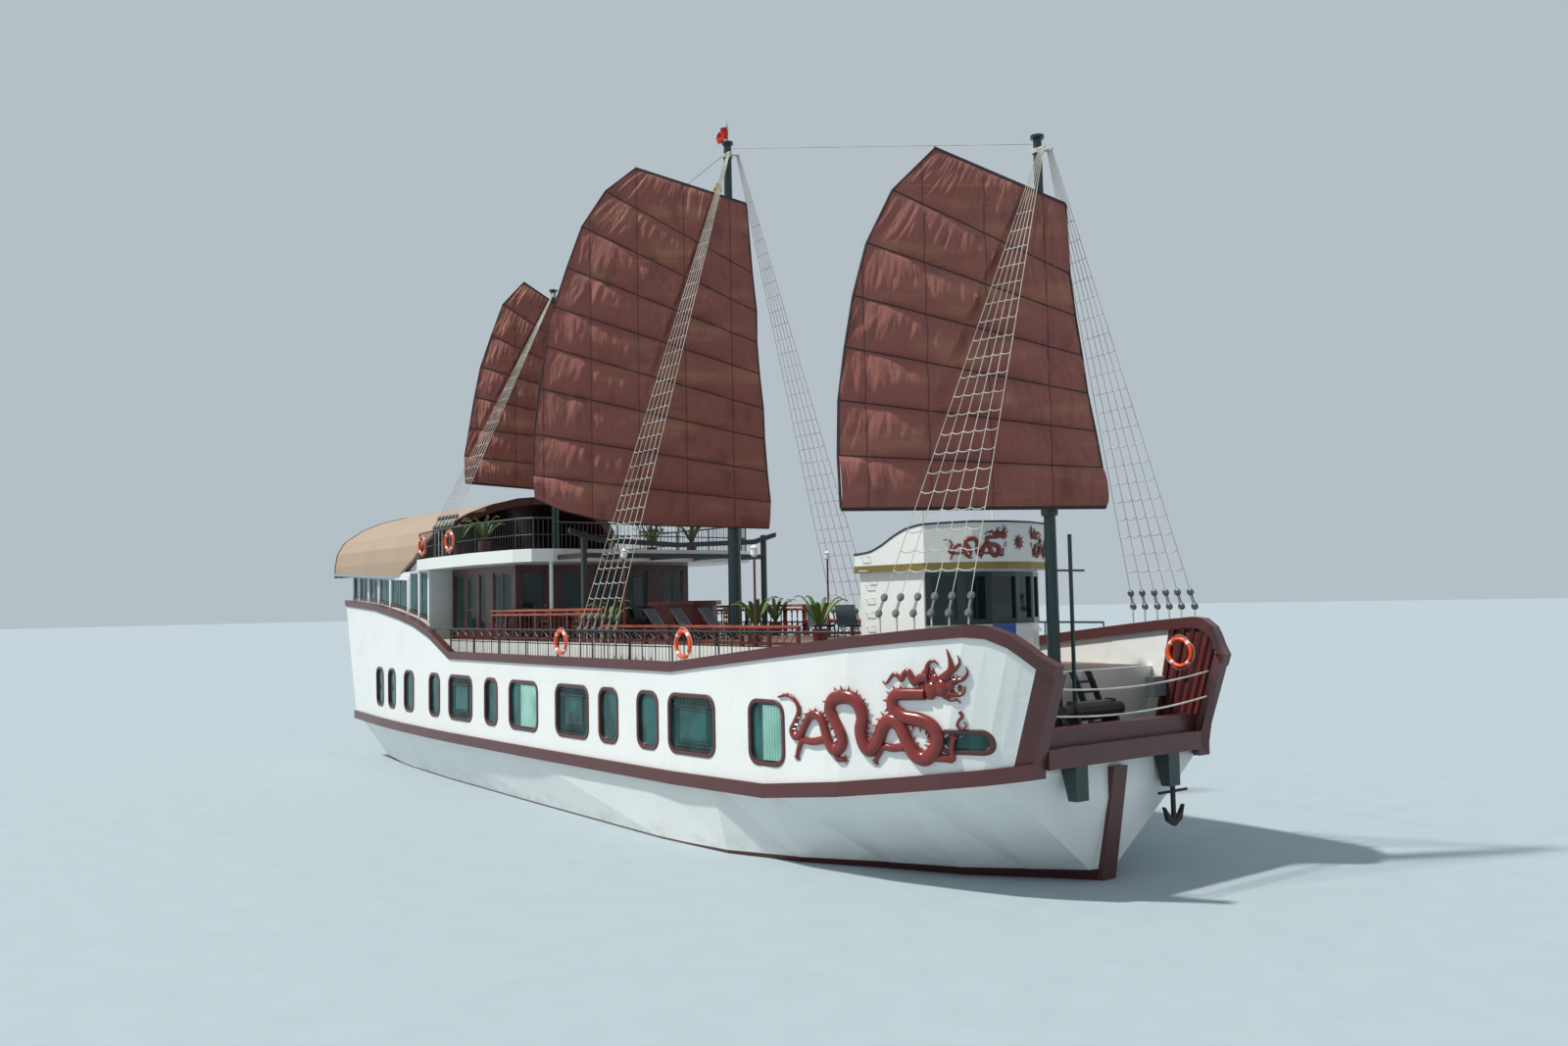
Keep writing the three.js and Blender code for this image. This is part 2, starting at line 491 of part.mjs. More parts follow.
function barrelRoof() {
  const shell = plate([...arch(ARCH_OUT), ...arch(ARCH_IN).reverse()], 'x', [EAVE[0][0], EAVE.at(-1)[0]]);
  const below = plate([
    [FAR_AFT, 7000], [FAR_AFT, eaveAt(FAR_AFT)], ...EAVE.slice(1), [-7000, 10300], [-7000, 7000],
  ], 'y', [-OUT, OUT]);
  const edge = [[-9630, 7900], ...EAVE.slice(2)].map(([x, z]) => [x - RIM.back, z]);
  const rimZone = plate([...edge, ...edge.toReversed().map(([x, z]) => [x - RIM.long, z])], 'y', [-OUT, OUT]);
  const rim = plate(inset(arch(ARCH_IN), -RIM.lap), 'x', [-11000, -7000])
    .subtract(plate(inset(arch(ARCH_IN), RIM.deep), 'x', [-11500, -6500]))
    .intersect(rimZone);
  const soffit = [EAVE[0], EAVE[1], ...EAVE.slice(0, 2).reverse()].map(([x, z], i) => (
    [x, z + (i < 2 ? -SOFFIT.down : SOFFIT.up)]));
  return joined([shell.subtract(below), rim, ...SIDES.flatMap(([, side]) => [
    plate(soffit, 'y', SOFFIT.y.map((y) => side * y).sort((a, b) => a - b)),
    rod([ROOF_POST.x, side * ROOF_POST.y, UPPER_DECK.top + SEAT],
      [ROOF_POST.x, side * ROOF_POST.y, ROOF_POST.top], ROOF_POST.radius, 8),
  ])]);
}

// Poop house: its walls end under the soffit aft and under the upper deck forward
const POOP = { aft: -18350, slab: -11250, wall: 100, sill: 60, head: 110 };
const poopPlan = bothSides([[-7950, 4190], [POOP.slab, 4130], [-13500, 3900], [POOP.aft, 3390]]);
const POOP_BAYS = [
  [-18200, -17330], [-17170, -15720], [-15560, -14080], [-13920, -12340], [-12180, -10250],
  [-9950, -9050], [-8900, -8100],
];

function poopHouse() {
  const wallTop = (x) => eaveAt(x) - SOFFIT.down - SEAT;
  const slabFoot = UPPER_DECK.bottom - SEAT;
  const above = plate([
    [FAR_AFT, wallTop(FAR_AFT)], [EAVE[1][0], wallTop(EAVE[1][0])], [-10640, slabFoot], [0, slabFoot],
    [0, 9000], [FAR_AFT, 9000],
  ], 'y', [-OUT, OUT]);
  const [top, foot] = UPPER_STATIONS.slice(1, 3).map((row) => (
    [leaned(row, row.deck) + SEAT * 1.05, row.deck]));
  const transom = plate([
    [FAR_AFT, 5000], [foot[0], 5000], foot, top, [FAR_AFT, top[1]],
  ], 'y', [-OUT, OUT]);
  const bays = POOP_BAYS.map((ends) => {
    const sills = ends.map((x) => [x, capHeightAt(x) + POOP.sill]);
    const heads = ends.map((x) => [x, x > POOP.slab + 1100 ? slabFoot - 50 : eaveAt(x) - POOP.head]);
    return plate([...sills, ...heads.reverse()], 'y', [-OUT, OUT]);
  });
  const gable = plate([
    [3280, 7400], [3280, 7680], [3810, 8400],
    ...arch(ARCH_IN.slice(0, 5).map(([y, z]) => [Math.max(y - 20, 0), z - 20])),
    [-3810, 8400], [-3280, 7680], [-3280, 7400],
  ], 'x', [POOP.aft, POOP.aft + POOP.wall]);
  return cutBy(ribbon(poopPlan, POOP.wall, [POOP_DECK + SEAT, 8000]), [above, transom, ...bays]).add(gable);
}
add('poop_house', poopHouse(), LOOK.white);
add('barrel_roof', barrelRoof(), LOOK.roof);

// Masts, each a tapered spar with a band that the sail rests on
const MASTS = [
  { name: 'fore', x: 17450, foot: WELL_DECK, head: 15950, top: 16500, radius: 155, neck: 100, lug: 16200,
    band: 8035, reach: 270 },
  { name: 'main', x: 5200, foot: SUN_DECK, head: 19400, top: 20070, radius: 205, neck: 120, lug: 19700,
    band: 9165, reach: 330 },
  { name: 'mizzen', x: -6300, foot: SUN_DECK, head: 17450, top: 17880, radius: 150, neck: 95, lug: 17700,
    band: 10380, reach: 400 },
];
const BAND = { drop: 120, height: 70, proud: 35 };
const MAST_SIDES = 12;
function mast({ x, foot, head, top, radius, neck, band: bandHeight }) {
  const ringFoot = bandHeight - BAND.drop - SEAT;
  return joined([
    rod([x, 0, foot + SEAT], [x, 0, head], radius, MAST_SIDES, neck),
    rod([x, 0, head - 1], [x, 0, top], neck, MAST_SIDES),
    rod([x, 0, top - 1], [x, 0, top + 70], neck + 60, MAST_SIDES),
    rod([x, 0, ringFoot - BAND.height], [x, 0, ringFoot], radius + BAND.proud, MAST_SIDES),
  ]);
}
for (const row of MASTS) add(`${row.name}_mast`, mast(row), LOOK.mast);
const SIGNAL = { x: 18000, radius: 45, top: 7400, arm: 6600 };
add('signal_mast', joined([
  rod([SIGNAL.x, 0, WELL_DECK + SEAT], [SIGNAL.x, 0, SIGNAL.top], SIGNAL.radius, 8),
  rod([SIGNAL.x, -450, SIGNAL.arm], [SIGNAL.x, 450, SIGNAL.arm], 25, 8),
]), LOOK.mast);

// Upper deck, its rail, and the pergola ahead of it
const upperPlan = bothSides([
  [500, 3600], [200, 4200], [-500, 4500], [-3000, 4750], [-7000, 4550], [-8800, 4340], [-9690, 3925],
  [POOP.slab + SEAT, 3925],
]);
const mizzen = MASTS[2];
const slabPost = ([x, y]) => rod([x, y, SUN_DECK + SEAT], [x, y, UPPER_DECK.bottom + 50], 60, 8);
add('upper_deck', joined([
  plate(upperPlan, 'z', [UPPER_DECK.bottom, UPPER_DECK.top]),
  ...SIDES.map(([, side]) => slabPost([150, side * 3500])),
]).subtract(rod([mizzen.x, 0, 0], [mizzen.x, 0, 9000], mizzen.radius + SEAT, MAST_SIDES)), LOOK.white);

// A rail: a top bar and lower bars through the given points, on posts down to the given foot
function railing(points, { top, bars, radius, post, footAt }) {
  const spans = points.slice(1).map((end, i) => [points[i], end]);
  const bar = (height, size) => spans.map(([a, b]) => rod([...a, height], [...b, height], size, 4));
  const posts = spans.flatMap(([a, b], i) => {
    const count = Math.max(1, Math.round(Math.hypot(b[0] - a[0], b[1] - a[1]) / post.every));
    const first = i === 0 ? 0 : 1;
    return Array.from({ length: count + 1 - first }, (_, k) => {
      const share = (k + first) / count;
      const [x, y] = [a[0] + (b[0] - a[0]) * share, a[1] + (b[1] - a[1]) * share];
      return rod([x, y, footAt(x) + SEAT], [x, y, top - radius], post.radius, 4);
    });
  });
  const lower = bars.flatMap((height) => bar(height, radius * 0.6));
  return joined([...bar(top - radius, radius), ...lower, ...posts]);
}
// The rail across the front is lower, clear of the main sail's foot as it swings
const UPPER_RAIL = { side: 8850, front: 8720, middle: 8300 };
const upperRailPath = [
  [-9050, 4130], [-7000, 4430], [-3000, 4630], [-550, 4380], [120, 4100], [300, 3500],
];
const upperRail = (points, top) => railing(points, {
  top, bars: [UPPER_RAIL.middle], radius: 30, post: { every: 2200, radius: 26 }, footAt: () => UPPER_DECK.top,
});
add('upper_rail', joined([
  ...SIDES.map(([, side]) => upperRail(upperRailPath.map(([x, y]) => [x, side * y]), UPPER_RAIL.side)),
  upperRail(upperRailPath.slice(-1).flatMap(([x, y]) => [[x, y], [x, -y]]), UPPER_RAIL.front),
]), LOOK.steel);

const PERGOLA = { x: 2100, y: 3400 };
add('pergola', joined([
  ...SIDES.map(([, side]) => box([PERGOLA.x - 70, PERGOLA.x + 70],
    [side * PERGOLA.y - 70, side * PERGOLA.y + 70], [SUN_DECK + SEAT, 8300])),
  ...[-3400, -1700, 0, 1700, 3400].map((y) => (
    box([500 + SEAT, PERGOLA.x + 60], [y - 50, y + 50], [7500, 7650]))),
  plate([
    [-3900, 8250], [-3000, 7980], [0, 7850], [3000, 7980], [3900, 8250],
    [3900, 8400], [3000, 8150], [0, 8000], [-3000, 8150], [-3900, 8400],
  ], 'x', [PERGOLA.x - 60, PERGOLA.x + 60]),
  box([PERGOLA.x - 50, PERGOLA.x + 50], [-3400, 3400], [7500, 7650]),
]), LOOK.wood);

// Rails and balustrades along the sides
const RAIL_STOPS = [-6500, -4850, 1000, 9200, 13150, 15300];
const RAIL = { out: 30, bar: 28, top: 5380, middle: 4960 };
for (const [name, side] of SIDES) {
  const at = (x) => [x, side * (capMiddleAt(x) + RAIL.out)];
  const rail = railing(RAIL_STOPS.map(at), {
    top: RAIL.top, bars: [], radius: RAIL.bar, post: { every: 2000, radius: 26 },
    footAt: (x) => capHeightAt(x) + (x > RAIL_STOPS[1] + 1 && x < RAIL_STOPS[3] - 1 ? 0 : 12),
  });
  const middles = [1, 2].map((i) => (
    rod([...at(RAIL_STOPS[i]), RAIL.middle], [...at(RAIL_STOPS[i + 1]), RAIL.middle], 16, 4)));
  add(`main_rail_${name}`, joined([rail, ...middles]), LOOK.steel);
}
const BALUSTRADE = [
  { x: [-3670, 3880], tops: [5960, 5830], bar: 60 },
  { x: [3880, 13030], tops: [5470], bar: 45 },
];
const LAMP_POLES = [{ x: 5050, top: 7350 }, { x: 11300, top: 7150 }];
for (const [name, side] of SIDES) {
  const y = side * 3740;
  const fences = BALUSTRADE.flatMap(({ x, tops, bar }) => {
    const count = Math.round((x[1] - x[0]) / 1150);
    const posts = Array.from({ length: count + 1 }, (_, i) => {
      const at = THREE.MathUtils.lerp(x[0] + 50, x[1] - 50, i / count);
      return box([at - 45, at + 45], [y - 45, y + 45], [SUN_DECK + SEAT, tops[0] - 20]);
    });
    const rails = tops.map((top) => box(x, [y - bar, y + bar], [top - 70, top]));
    return [...rails, box(x, [y - 30, y + 30], [SUN_DECK + 60, SUN_DECK + 130]), ...posts];
  });
  const poles = LAMP_POLES.map(({ x, top }) => rod([x, y, SUN_DECK + 300], [x, y, top], 30, 8));
  const braces = LAMP_POLES.map(({ x }) => box([x - 45, x + 45], [y - 45, y + 45], [SUN_DECK + SEAT, 5500]));
  add(`balustrade_${name}`, joined([...fences, ...poles, ...braces]), LOOK.trim);
}
const COUNTER = { top: 6110, lip: 60 };
const counterPlan = [
  [3850, -2150], [4240, -1700], [4280, -900], [4240, -100],
  [3850, 350], [3460, -100], [3420, -900], [3460, -1700],
];
add('bar_counter', plate(inset(counterPlan, 60), 'z', [SUN_DECK + SEAT, COUNTER.top - 10])
  .add(plate(counterPlan, 'z', [COUNTER.top - COUNTER.lip, COUNTER.top])), LOOK.wood);

// Stern platform, with the old tyre that fends it off
const PLATFORM = { x: [-18050, -17200 - SEAT], half: 1900, z: [1400, 1700] };
const PLATFORM_RIM = { x: [-18050, -17320], half: 1900, z: [1690, 1850] };
add('stern_platform', beamBox(PLATFORM).add(beamBox(PLATFORM_RIM)), LOOK.white);
// A ring of six-sided section, its axis along X or Y, and how far its side stands out from its middle
const ringSide = (thick) => thick * Math.sin(Math.PI / 3);
function roundRing([x, y, z], radius, thick, axis) {
  const section = Array.from({ length: 7 }, (_, i) => {
    const angle = (i / 6) * 2 * Math.PI;
    return [radius + thick * Math.cos(angle), thick * Math.sin(angle)];
  });
  section[6] = section[0];
  const flat = turned(section, [0, 0], 16);
  return (axis === 'x' ? flat.rotate([0, 90, 0]) : flat.rotate([90, 0, 0])).translate([x, y, z]);
}
const TYRE = { radius: 230, thick: 92, y: -1500, z: 1640 };
const tyreX = PLATFORM.x[0] - ringSide(TYRE.thick) - SEAT;
add('tyre_fender', roundRing([tyreX, TYRE.y, TYRE.z], TYRE.radius, TYRE.thick, 'x'), LOOK.rubber);
// Lifebuoys hang outside the rail. Each lies against it at the given x, the widest point that it covers.
const BUOY = { radius: 315, thick: 55 };
const LIFEBUOYS = [
  { name: 'waist', x: 9800, z: 5045, against: 9645 },
  { name: 'quarter', x: 3400, z: 5020, against: 3400 },
];
for (const { name, x, z, against } of LIFEBUOYS) {
  const y = -(capMiddleAt(against) + RAIL.out + RAIL.bar + ringSide(BUOY.thick) + SEAT);
  add(`lifebuoy_${name}`, roundRing([x, y, z], BUOY.radius, BUOY.thick, 'y'), paint('#f0501e', 0.55));
}

// Shrouds: a ring on the masthead, wires from it to each side, and rods that hold their feet to the ship
const WIRE = 11;
const SHROUD_FEET = {
  fore: [16410, 16830, 17260, 17670, 18080, 18520].map((x) => (
    { x, y: capMiddleAt(x), z: 5800, foot: capHeightAt(x) + 12 })),
  main: [4200, 4600, 5000, 5400, 5800, 6200].map((x) => ({ x, y: 4700, z: 5430, foot: 4590 })),
  mizzen: [-7300, -6980, -6660, -6340, -6020, -5700].map((x) => (
    { x, y: 4250, z: 9000, foot: UPPER_DECK.top })),
};
for (const { name, x, lug, neck, reach } of MASTS) {
  const ring = rod([x, 0, lug - 50], [x, 0, lug + 50], neck + 40, MAST_SIDES)
    .subtract(rod([x, 0, lug - 90], [x, 0, lug + 90], neck + SEAT, MAST_SIDES));
  const wires = SIDES.flatMap(([, side]) => {
    const eye = [x + 0.87 * reach, side * 0.5 * reach, lug];
    const arm = rod([x + 0.87 * (neck + 15), side * 0.5 * (neck + 15), lug], eye, 22, 6);
    const bar = box([eye[0] - 85, eye[0] + 85], [eye[1] - 24, eye[1] + 24], [lug - 24, lug + 24]);
    return [arm, bar, ...SHROUD_FEET[name].flatMap((row, i) => [
      rod([eye[0] + 26 * (i - 2.5), eye[1], lug], [row.x, side * row.y, row.z], WIRE, 4),
      rod([row.x, side * row.y, row.foot + SEAT], [row.x, side * row.y, row.z + 30], WIRE + 9, 6),
    ])];
  });
  add(`${name}_shrouds`, joined([ring, ...wires]), LOOK.wire);
}
const STAYS = [
  { name: 'forward', from: MASTS[0], to: MASTS[1], low: 16380, high: 19950 },
  { name: 'after', from: MASTS[2], to: MASTS[1], low: 17800, high: 19850 },
];
for (const { name, from, to, low, high } of STAYS) {
  const heads = [[from, low], [to, high]].map(([row, z]) => (
    rod([row.x, 0, z - 150], [row.x, 0, z + 150], row.neck + SEAT, MAST_SIDES)));
  add(`stay_${name}`, cutBy(rod([from.x, 0, low], [to.x, 0, high], WIRE, 6), heads), LOOK.wire);
}

// Sails. Each row runs from the luff to the leech, (distance from the mast, height) at both, foot to yard.
const SAILS = {
  fore: [
    [-1250, 8030, 4790, 8040], [-1190, 8900, 4830, 9200], [-1060, 9730, 4790, 10420],
    [-900, 10590, 4620, 11600], [-800, 11450, 4410, 12750], [-680, 12350, 4080, 13940],
    [-580, 13310, 3470, 15150], [-540, 14900, 2480, 16120],
  ],
  main: [
    [-1080, 9040, 5900, 9880], [-1000, 9960, 5880, 11110], [-940, 10950, 5710, 12460],
    [-920, 11870, 5500, 13720], [-820, 12930, 5260, 14910], [-760, 13890, 4880, 16090],
    [-770, 14830, 4430, 17340], [-660, 16010, 3720, 18440], [-520, 18130, 2830, 19150],
  ],
  mizzen: [
    [-850, 10300, 3230, 10680], [-820, 11150, 3250, 11640], [-750, 12200, 3080, 12680],
    [-660, 13050, 2890, 13840], [-580, 14000, 2660, 14980], [-500, 14850, 2270, 16150],
    [-450, 15800, 1840, 17330], [-380, 17150, 1080, 18160],
  ],
};
const MAIN_FOOT = [[5850, 9200], [5090, 8850], [3970, 8550], [2460, 8380], [-1020, 8250]]; // its loose foot
const SPAR = { deep: 55, batten: 32, yard: 60, rope: 28, cloth: 20 };
// A bar of a given half height between two (distance, height) points of the sail's plane
function bar([u0, z0], [u1, z1], half, depths) {
  return plate([[-u0, z0 - half], [-u1, z1 - half], [-u1, z1 + half], [-u0, z0 + half]], 'y', depths);
}
function upright([u0, z0], [u1, z1], half, depths) {
  return plate([[-u0 - half, z0], [-u0 + half, z0], [-u1 + half, z1], [-u1 - half, z1]], 'y', depths);
}
for (const { name, x, radius, band: bandHeight } of MASTS) {
  const rows = SAILS[name];
  const near = radius + RUN;
  const depths = [-near - SPAR.deep, -near];
  const luff = rows.map(([u, z]) => [u, z]);
  const leech = rows.map(([, , u, z]) => [u, z]);
  const stiff = (i) => (i === 0 || i === rows.length - 1 ? SPAR.yard : SPAR.batten);
  const bars = rows.map((row, i) => bar(luff[i], leech[i], stiff(i), depths));
  const edges = [luff, leech].flatMap((edge) => edge.slice(1).map((point, i) => (
    upright(edge[i], point, SPAR.rope, [depths[0] + 10, depths[1] - 10]))));
  const rings = rows.flatMap((row, i) => {
    if (i % 3 !== 0 || i === rows.length - 1) return [];
    const z = i === 0 ? bandHeight : THREE.MathUtils.mapLinear(0, row[0], row[2], row[1], row[3]);
    const [low, high] = i === 0 ? [z - BAND.drop, z - 10] : [z - 25, z + 25];
    return [rod([0, 0, low], [0, 0, high], near + 28, MAST_SIDES)
      .subtract(rod([0, 0, low - 10], [0, 0, high + 10], near, MAST_SIDES))];
  });
  const foot = name === 'main' ? MAIN_FOOT : [];
  const outline = [...luff.toReversed(), ...foot.toReversed(), ...leech].map(([u, z]) => [-u, z]);
  const rig = new THREE.Group();
  rig.position.set(x, 0, 0);
  rig.rotation.z = THREE.MathUtils.degToRad(SAIL_BRACE);
  ship.add(rig);
  add(`${name}_sail_frame`, joined([...bars, ...edges, ...rings]), LOOK.spar, rig);
  const back = depths[0] - SEAT;
  add(`${name}_sail`, plate(outline, 'y', [back - SPAR.cloth, back]), LOOK.cloth, rig);
}

export default ship;
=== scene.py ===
"""Dresses the model of a three-masted cruise junk: paint, timber, sailcloth, rigging, glazing and gear.

Lengths are metres in the model's own frame: +X runs forward, +Y to port and +Z up from the waterline.
"""

from __future__ import annotations

import json
import logging
import math
from dataclasses import dataclass, field
from enum import Enum
from typing import Callable, Iterable, Sequence

import bpy
import numpy as np
from mathutils import Euler, Matrix, Vector, noise

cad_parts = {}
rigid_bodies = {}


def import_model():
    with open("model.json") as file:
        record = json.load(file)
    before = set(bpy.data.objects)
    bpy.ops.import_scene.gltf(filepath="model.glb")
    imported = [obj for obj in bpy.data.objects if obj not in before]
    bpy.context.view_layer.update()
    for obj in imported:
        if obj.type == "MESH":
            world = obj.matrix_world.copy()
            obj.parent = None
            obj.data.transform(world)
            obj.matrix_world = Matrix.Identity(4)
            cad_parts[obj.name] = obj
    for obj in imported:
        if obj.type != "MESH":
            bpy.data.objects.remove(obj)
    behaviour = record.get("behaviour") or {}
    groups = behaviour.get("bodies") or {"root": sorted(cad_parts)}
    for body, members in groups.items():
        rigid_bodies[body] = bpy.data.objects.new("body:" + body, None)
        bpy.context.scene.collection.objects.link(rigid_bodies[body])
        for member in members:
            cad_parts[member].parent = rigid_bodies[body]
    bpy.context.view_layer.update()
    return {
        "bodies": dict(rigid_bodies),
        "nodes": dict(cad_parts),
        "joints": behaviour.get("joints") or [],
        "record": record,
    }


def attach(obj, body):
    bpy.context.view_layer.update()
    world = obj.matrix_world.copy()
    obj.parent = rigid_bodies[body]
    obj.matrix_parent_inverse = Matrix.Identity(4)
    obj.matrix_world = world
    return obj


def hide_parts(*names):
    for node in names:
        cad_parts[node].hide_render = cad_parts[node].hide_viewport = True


log = logging.getLogger("junk")
Point = tuple[float, float, float]
Place2 = tuple[float, float]
Row = tuple[float, float, float, float]
Laying = Callable[[float, float, float], Point]
Piece = bpy.types.Object
Tree = bpy.types.NodeTree
Socket = bpy.types.NodeSocket
Surface = tuple[Socket, Socket]
SIDES = {"starboard": -1.0, "port": 1.0}


# Tools of the modelling bench


def rest() -> None:
    """Leaves edit mode and deselects every object."""
    if bpy.context.object and bpy.context.object.mode != "OBJECT":
        bpy.ops.object.mode_set(mode="OBJECT")
    bpy.ops.object.select_all(action="DESELECT")


def hold(piece: Piece) -> Piece:
    """Selects one piece alone and makes it active.

    Args:
        piece: The piece to hold.

    Returns:
        The same piece.
    """
    rest()
    piece.select_set(True)
    bpy.context.view_layer.objects.active = piece
    return piece


def named(name: str) -> Piece:
    """Names the active piece and moves its place into its mesh.

    Args:
        name: The piece's name.

    Returns:
        The active piece.
    """
    piece = bpy.context.object
    piece.name = name
    piece.data.name = name
    bpy.ops.object.transform_apply(location=True, rotation=True, scale=True)
    return piece


def modify(piece: Piece, kind: str, **settings: object) -> Piece:
    """Adds a modifier and applies it.

    Args:
        piece: The piece to change.
        kind: The modifier's type, such as "BEVEL".
        settings: The modifier's properties.

    Returns:
        The same piece.
    """
    hold(piece)
    step = piece.modifiers.new(kind, kind)
    for key, value in settings.items():
        setattr(step, key, value)
    bpy.ops.object.modifier_apply(modifier=step.name)
    return piece


def smooth(piece: Piece, degrees: float = 35.0) -> Piece:
    """Smooths the shading of all edges flatter than an angle, and returns the piece.

    Args:
        piece: The piece.
        degrees: Edges flatter than this look smooth.

    Returns:
        The same piece.
    """
    hold(piece)
    bpy.ops.object.shade_smooth_by_angle(angle=math.radians(degrees))
    return piece


def block(name: str, low: Point, high: Point, bevel: float = 0.008) -> Piece:
    """A squared timber, panel or casing with eased edges.

    Args:
        name: The piece's name.
        low: Its lowest corner.
        high: Its highest corner.
        bevel: The width of its eased edges.

    Returns:
        The new piece.
    """
    rest()
    middle = [(a + b) / 2 for a, b in zip(low, high)]
    size = [b - a for a, b in zip(low, high)]
    bpy.ops.mesh.primitive_cube_add(size=1, location=middle, scale=size)
    piece = named(name)
    if bevel:
        modify(piece, "BEVEL", width=min(bevel, min(size) * 0.3), segments=2)
    return piece


def bar(name: str, start: Point, end: Point, radius: float, sides: int = 8,
        tip: float | None = None) -> Piece:
    """A round bar, tube or pole from one point to another.

    Args:
        name: The piece's name.
        start: One end.
        end: The other end.
        radius: The radius at the start.
        sides: How many sides the bar has.
        tip: The radius at the end, if it differs.

    Returns:
        The new piece.
    """
    rest()
    run = Vector(end) - Vector(start)
    turn = Vector((0, 0, 1)).rotation_difference(run).to_euler()
    bpy.ops.mesh.primitive_cone_add(
        vertices=sides, radius1=radius, radius2=radius if tip is None else tip, depth=run.length,
        location=(Vector(start) + Vector(end)) / 2, rotation=turn)
    return named(name)


def skin(name: str, rows: Sequence[Sequence[Point]], around: bool = False, ends: bool = False) -> Piece:
    """A surface through rows of points, made from a grid that is laid on them.

    Args:
        name: The piece's name.
        rows: Rows of equally many points.
        around: Whether each row closes on itself.
        ends: Whether the last row joins the first.

    Returns:
        The new piece.
    """
    rest()
    table = np.array(rows, dtype=float)
    if around:
        table = np.concatenate([table, table[:, :1]], axis=1)
    if ends:
        table = np.concatenate([table, table[:1]], axis=0)
    down, across = table.shape[0] - 1, table.shape[1] - 1
    bpy.ops.mesh.primitive_grid_add(x_subdivisions=across, y_subdivisions=down, size=2)
    piece = named(name)
    places = np.empty(len(piece.data.vertices) * 3)
    piece.data.vertices.foreach_get("co", places)
    places = places.reshape(-1, 3)
    i = np.rint((places[:, 0] + 1) / 2 * across).astype(int)
    j = np.rint((places[:, 1] + 1) / 2 * down).astype(int)
    piece.data.vertices.foreach_set("co", table[j, i].reshape(-1))
    piece.data.update()
    if around or ends:
        hold(piece)
        bpy.ops.object.mode_set(mode="EDIT")
        bpy.ops.mesh.select_all(action="SELECT")
        bpy.ops.mesh.remove_doubles(threshold=1e-5)
        bpy.ops.mesh.normals_make_consistent(inside=False)
        rest()
    return piece


def capped(piece: Piece) -> Piece:
    """Closes a skin's open ends with flat faces, and returns it.

    Args:
        piece: The piece.

    Returns:
        The same piece.
    """
    hold(piece)
    bpy.ops.object.mode_set(mode="EDIT")
    bpy.ops.mesh.select_all(action="DESELECT")
    bpy.ops.mesh.select_mode(type="EDGE")
    bpy.ops.mesh.select_non_manifold()
    bpy.ops.mesh.edge_face_add()
    bpy.ops.mesh.select_all(action="SELECT")
    bpy.ops.mesh.normals_make_consistent(inside=False)
    rest()
    return piece


def turned(name: str, profile: Sequence[Place2], place: Matrix, steps: int = 12) -> Piece:
    """A lathe-turned piece.

    Args:
        name: The piece's name.
        profile: Points of (radius, height); a closed shape starts and ends on the axis.
        place: Where the profile's axis is put.
        steps: How many facets go round.

    Returns:
        The new piece.
    """
    turns = [2 * math.pi * k / steps for k in range(steps)]
    rows = [[tuple(place @ Vector((r * math.cos(a), r * math.sin(a), z))) for a in turns] for r, z in profile]
    return smooth(skin(name, rows, around=True), 40)


def ring(name: str, place: Matrix, radius: float, thick: float, steps: int = 32, sides: int = 12) -> Piece:
    """A ring of round section about the place's own Z axis.

    Args:
        name: The piece's name.
        place: Where the ring is put.
        radius: From its middle to the middle of the section.
        thick: The section's radius.
        steps: How many facets go round the ring.
        sides: How many facets go round the section.

    Returns:
        The new piece.
    """
    rows = []
    for k in range(steps):
        a = 2 * math.pi * k / steps
        rows.append([
            tuple(place @ Vector((
                (radius + thick * math.cos(b)) * math.cos(a), (radius + thick * math.cos(b)) * math.sin(a),
                thick * math.sin(b))))
            for b in (2 * math.pi * s / sides for s in range(sides))])
    return smooth(skin(name, rows, around=True, ends=True), 60)


def rope(name: str, points: Sequence[Point], radius: float | Sequence[float], sides: int = 6,
         squash: float = 1.0, flat: Vector | None = None) -> Piece:
    """A bar that follows a line of points, with closed ends.

    Args:
        name: The piece's name.
        points: The points of its middle line.
        radius: Its radius, or one radius for each point.
        sides: How many sides it has.
        squash: How far it is flattened along the direction in flat.
        flat: The direction that it is flattened along.

    Returns:
        The new piece.
    """
    line = [Vector(p) for p in points]
    radii = list(radius) if isinstance(radius, Sequence) else [radius] * len(line)
    rows = []
    side = None
    for k, here in enumerate(line):
        run = (line[min(k + 1, len(line) - 1)] - line[max(k - 1, 0)]).normalized()
        guide = flat if flat is not None else (side if side is not None else Vector((0.31, 0.17, 1)))
        across = run.cross(guide).normalized()
        up = across.cross(run).normalized()
        side = up
        rows.append([
            tuple(here + across * radii[k] * math.cos(a) + up * radii[k] * squash * math.sin(a))
            for a in (2 * math.pi * s / sides for s in range(sides))])
    return smooth(capped(skin(name, rows, around=True)), 50)


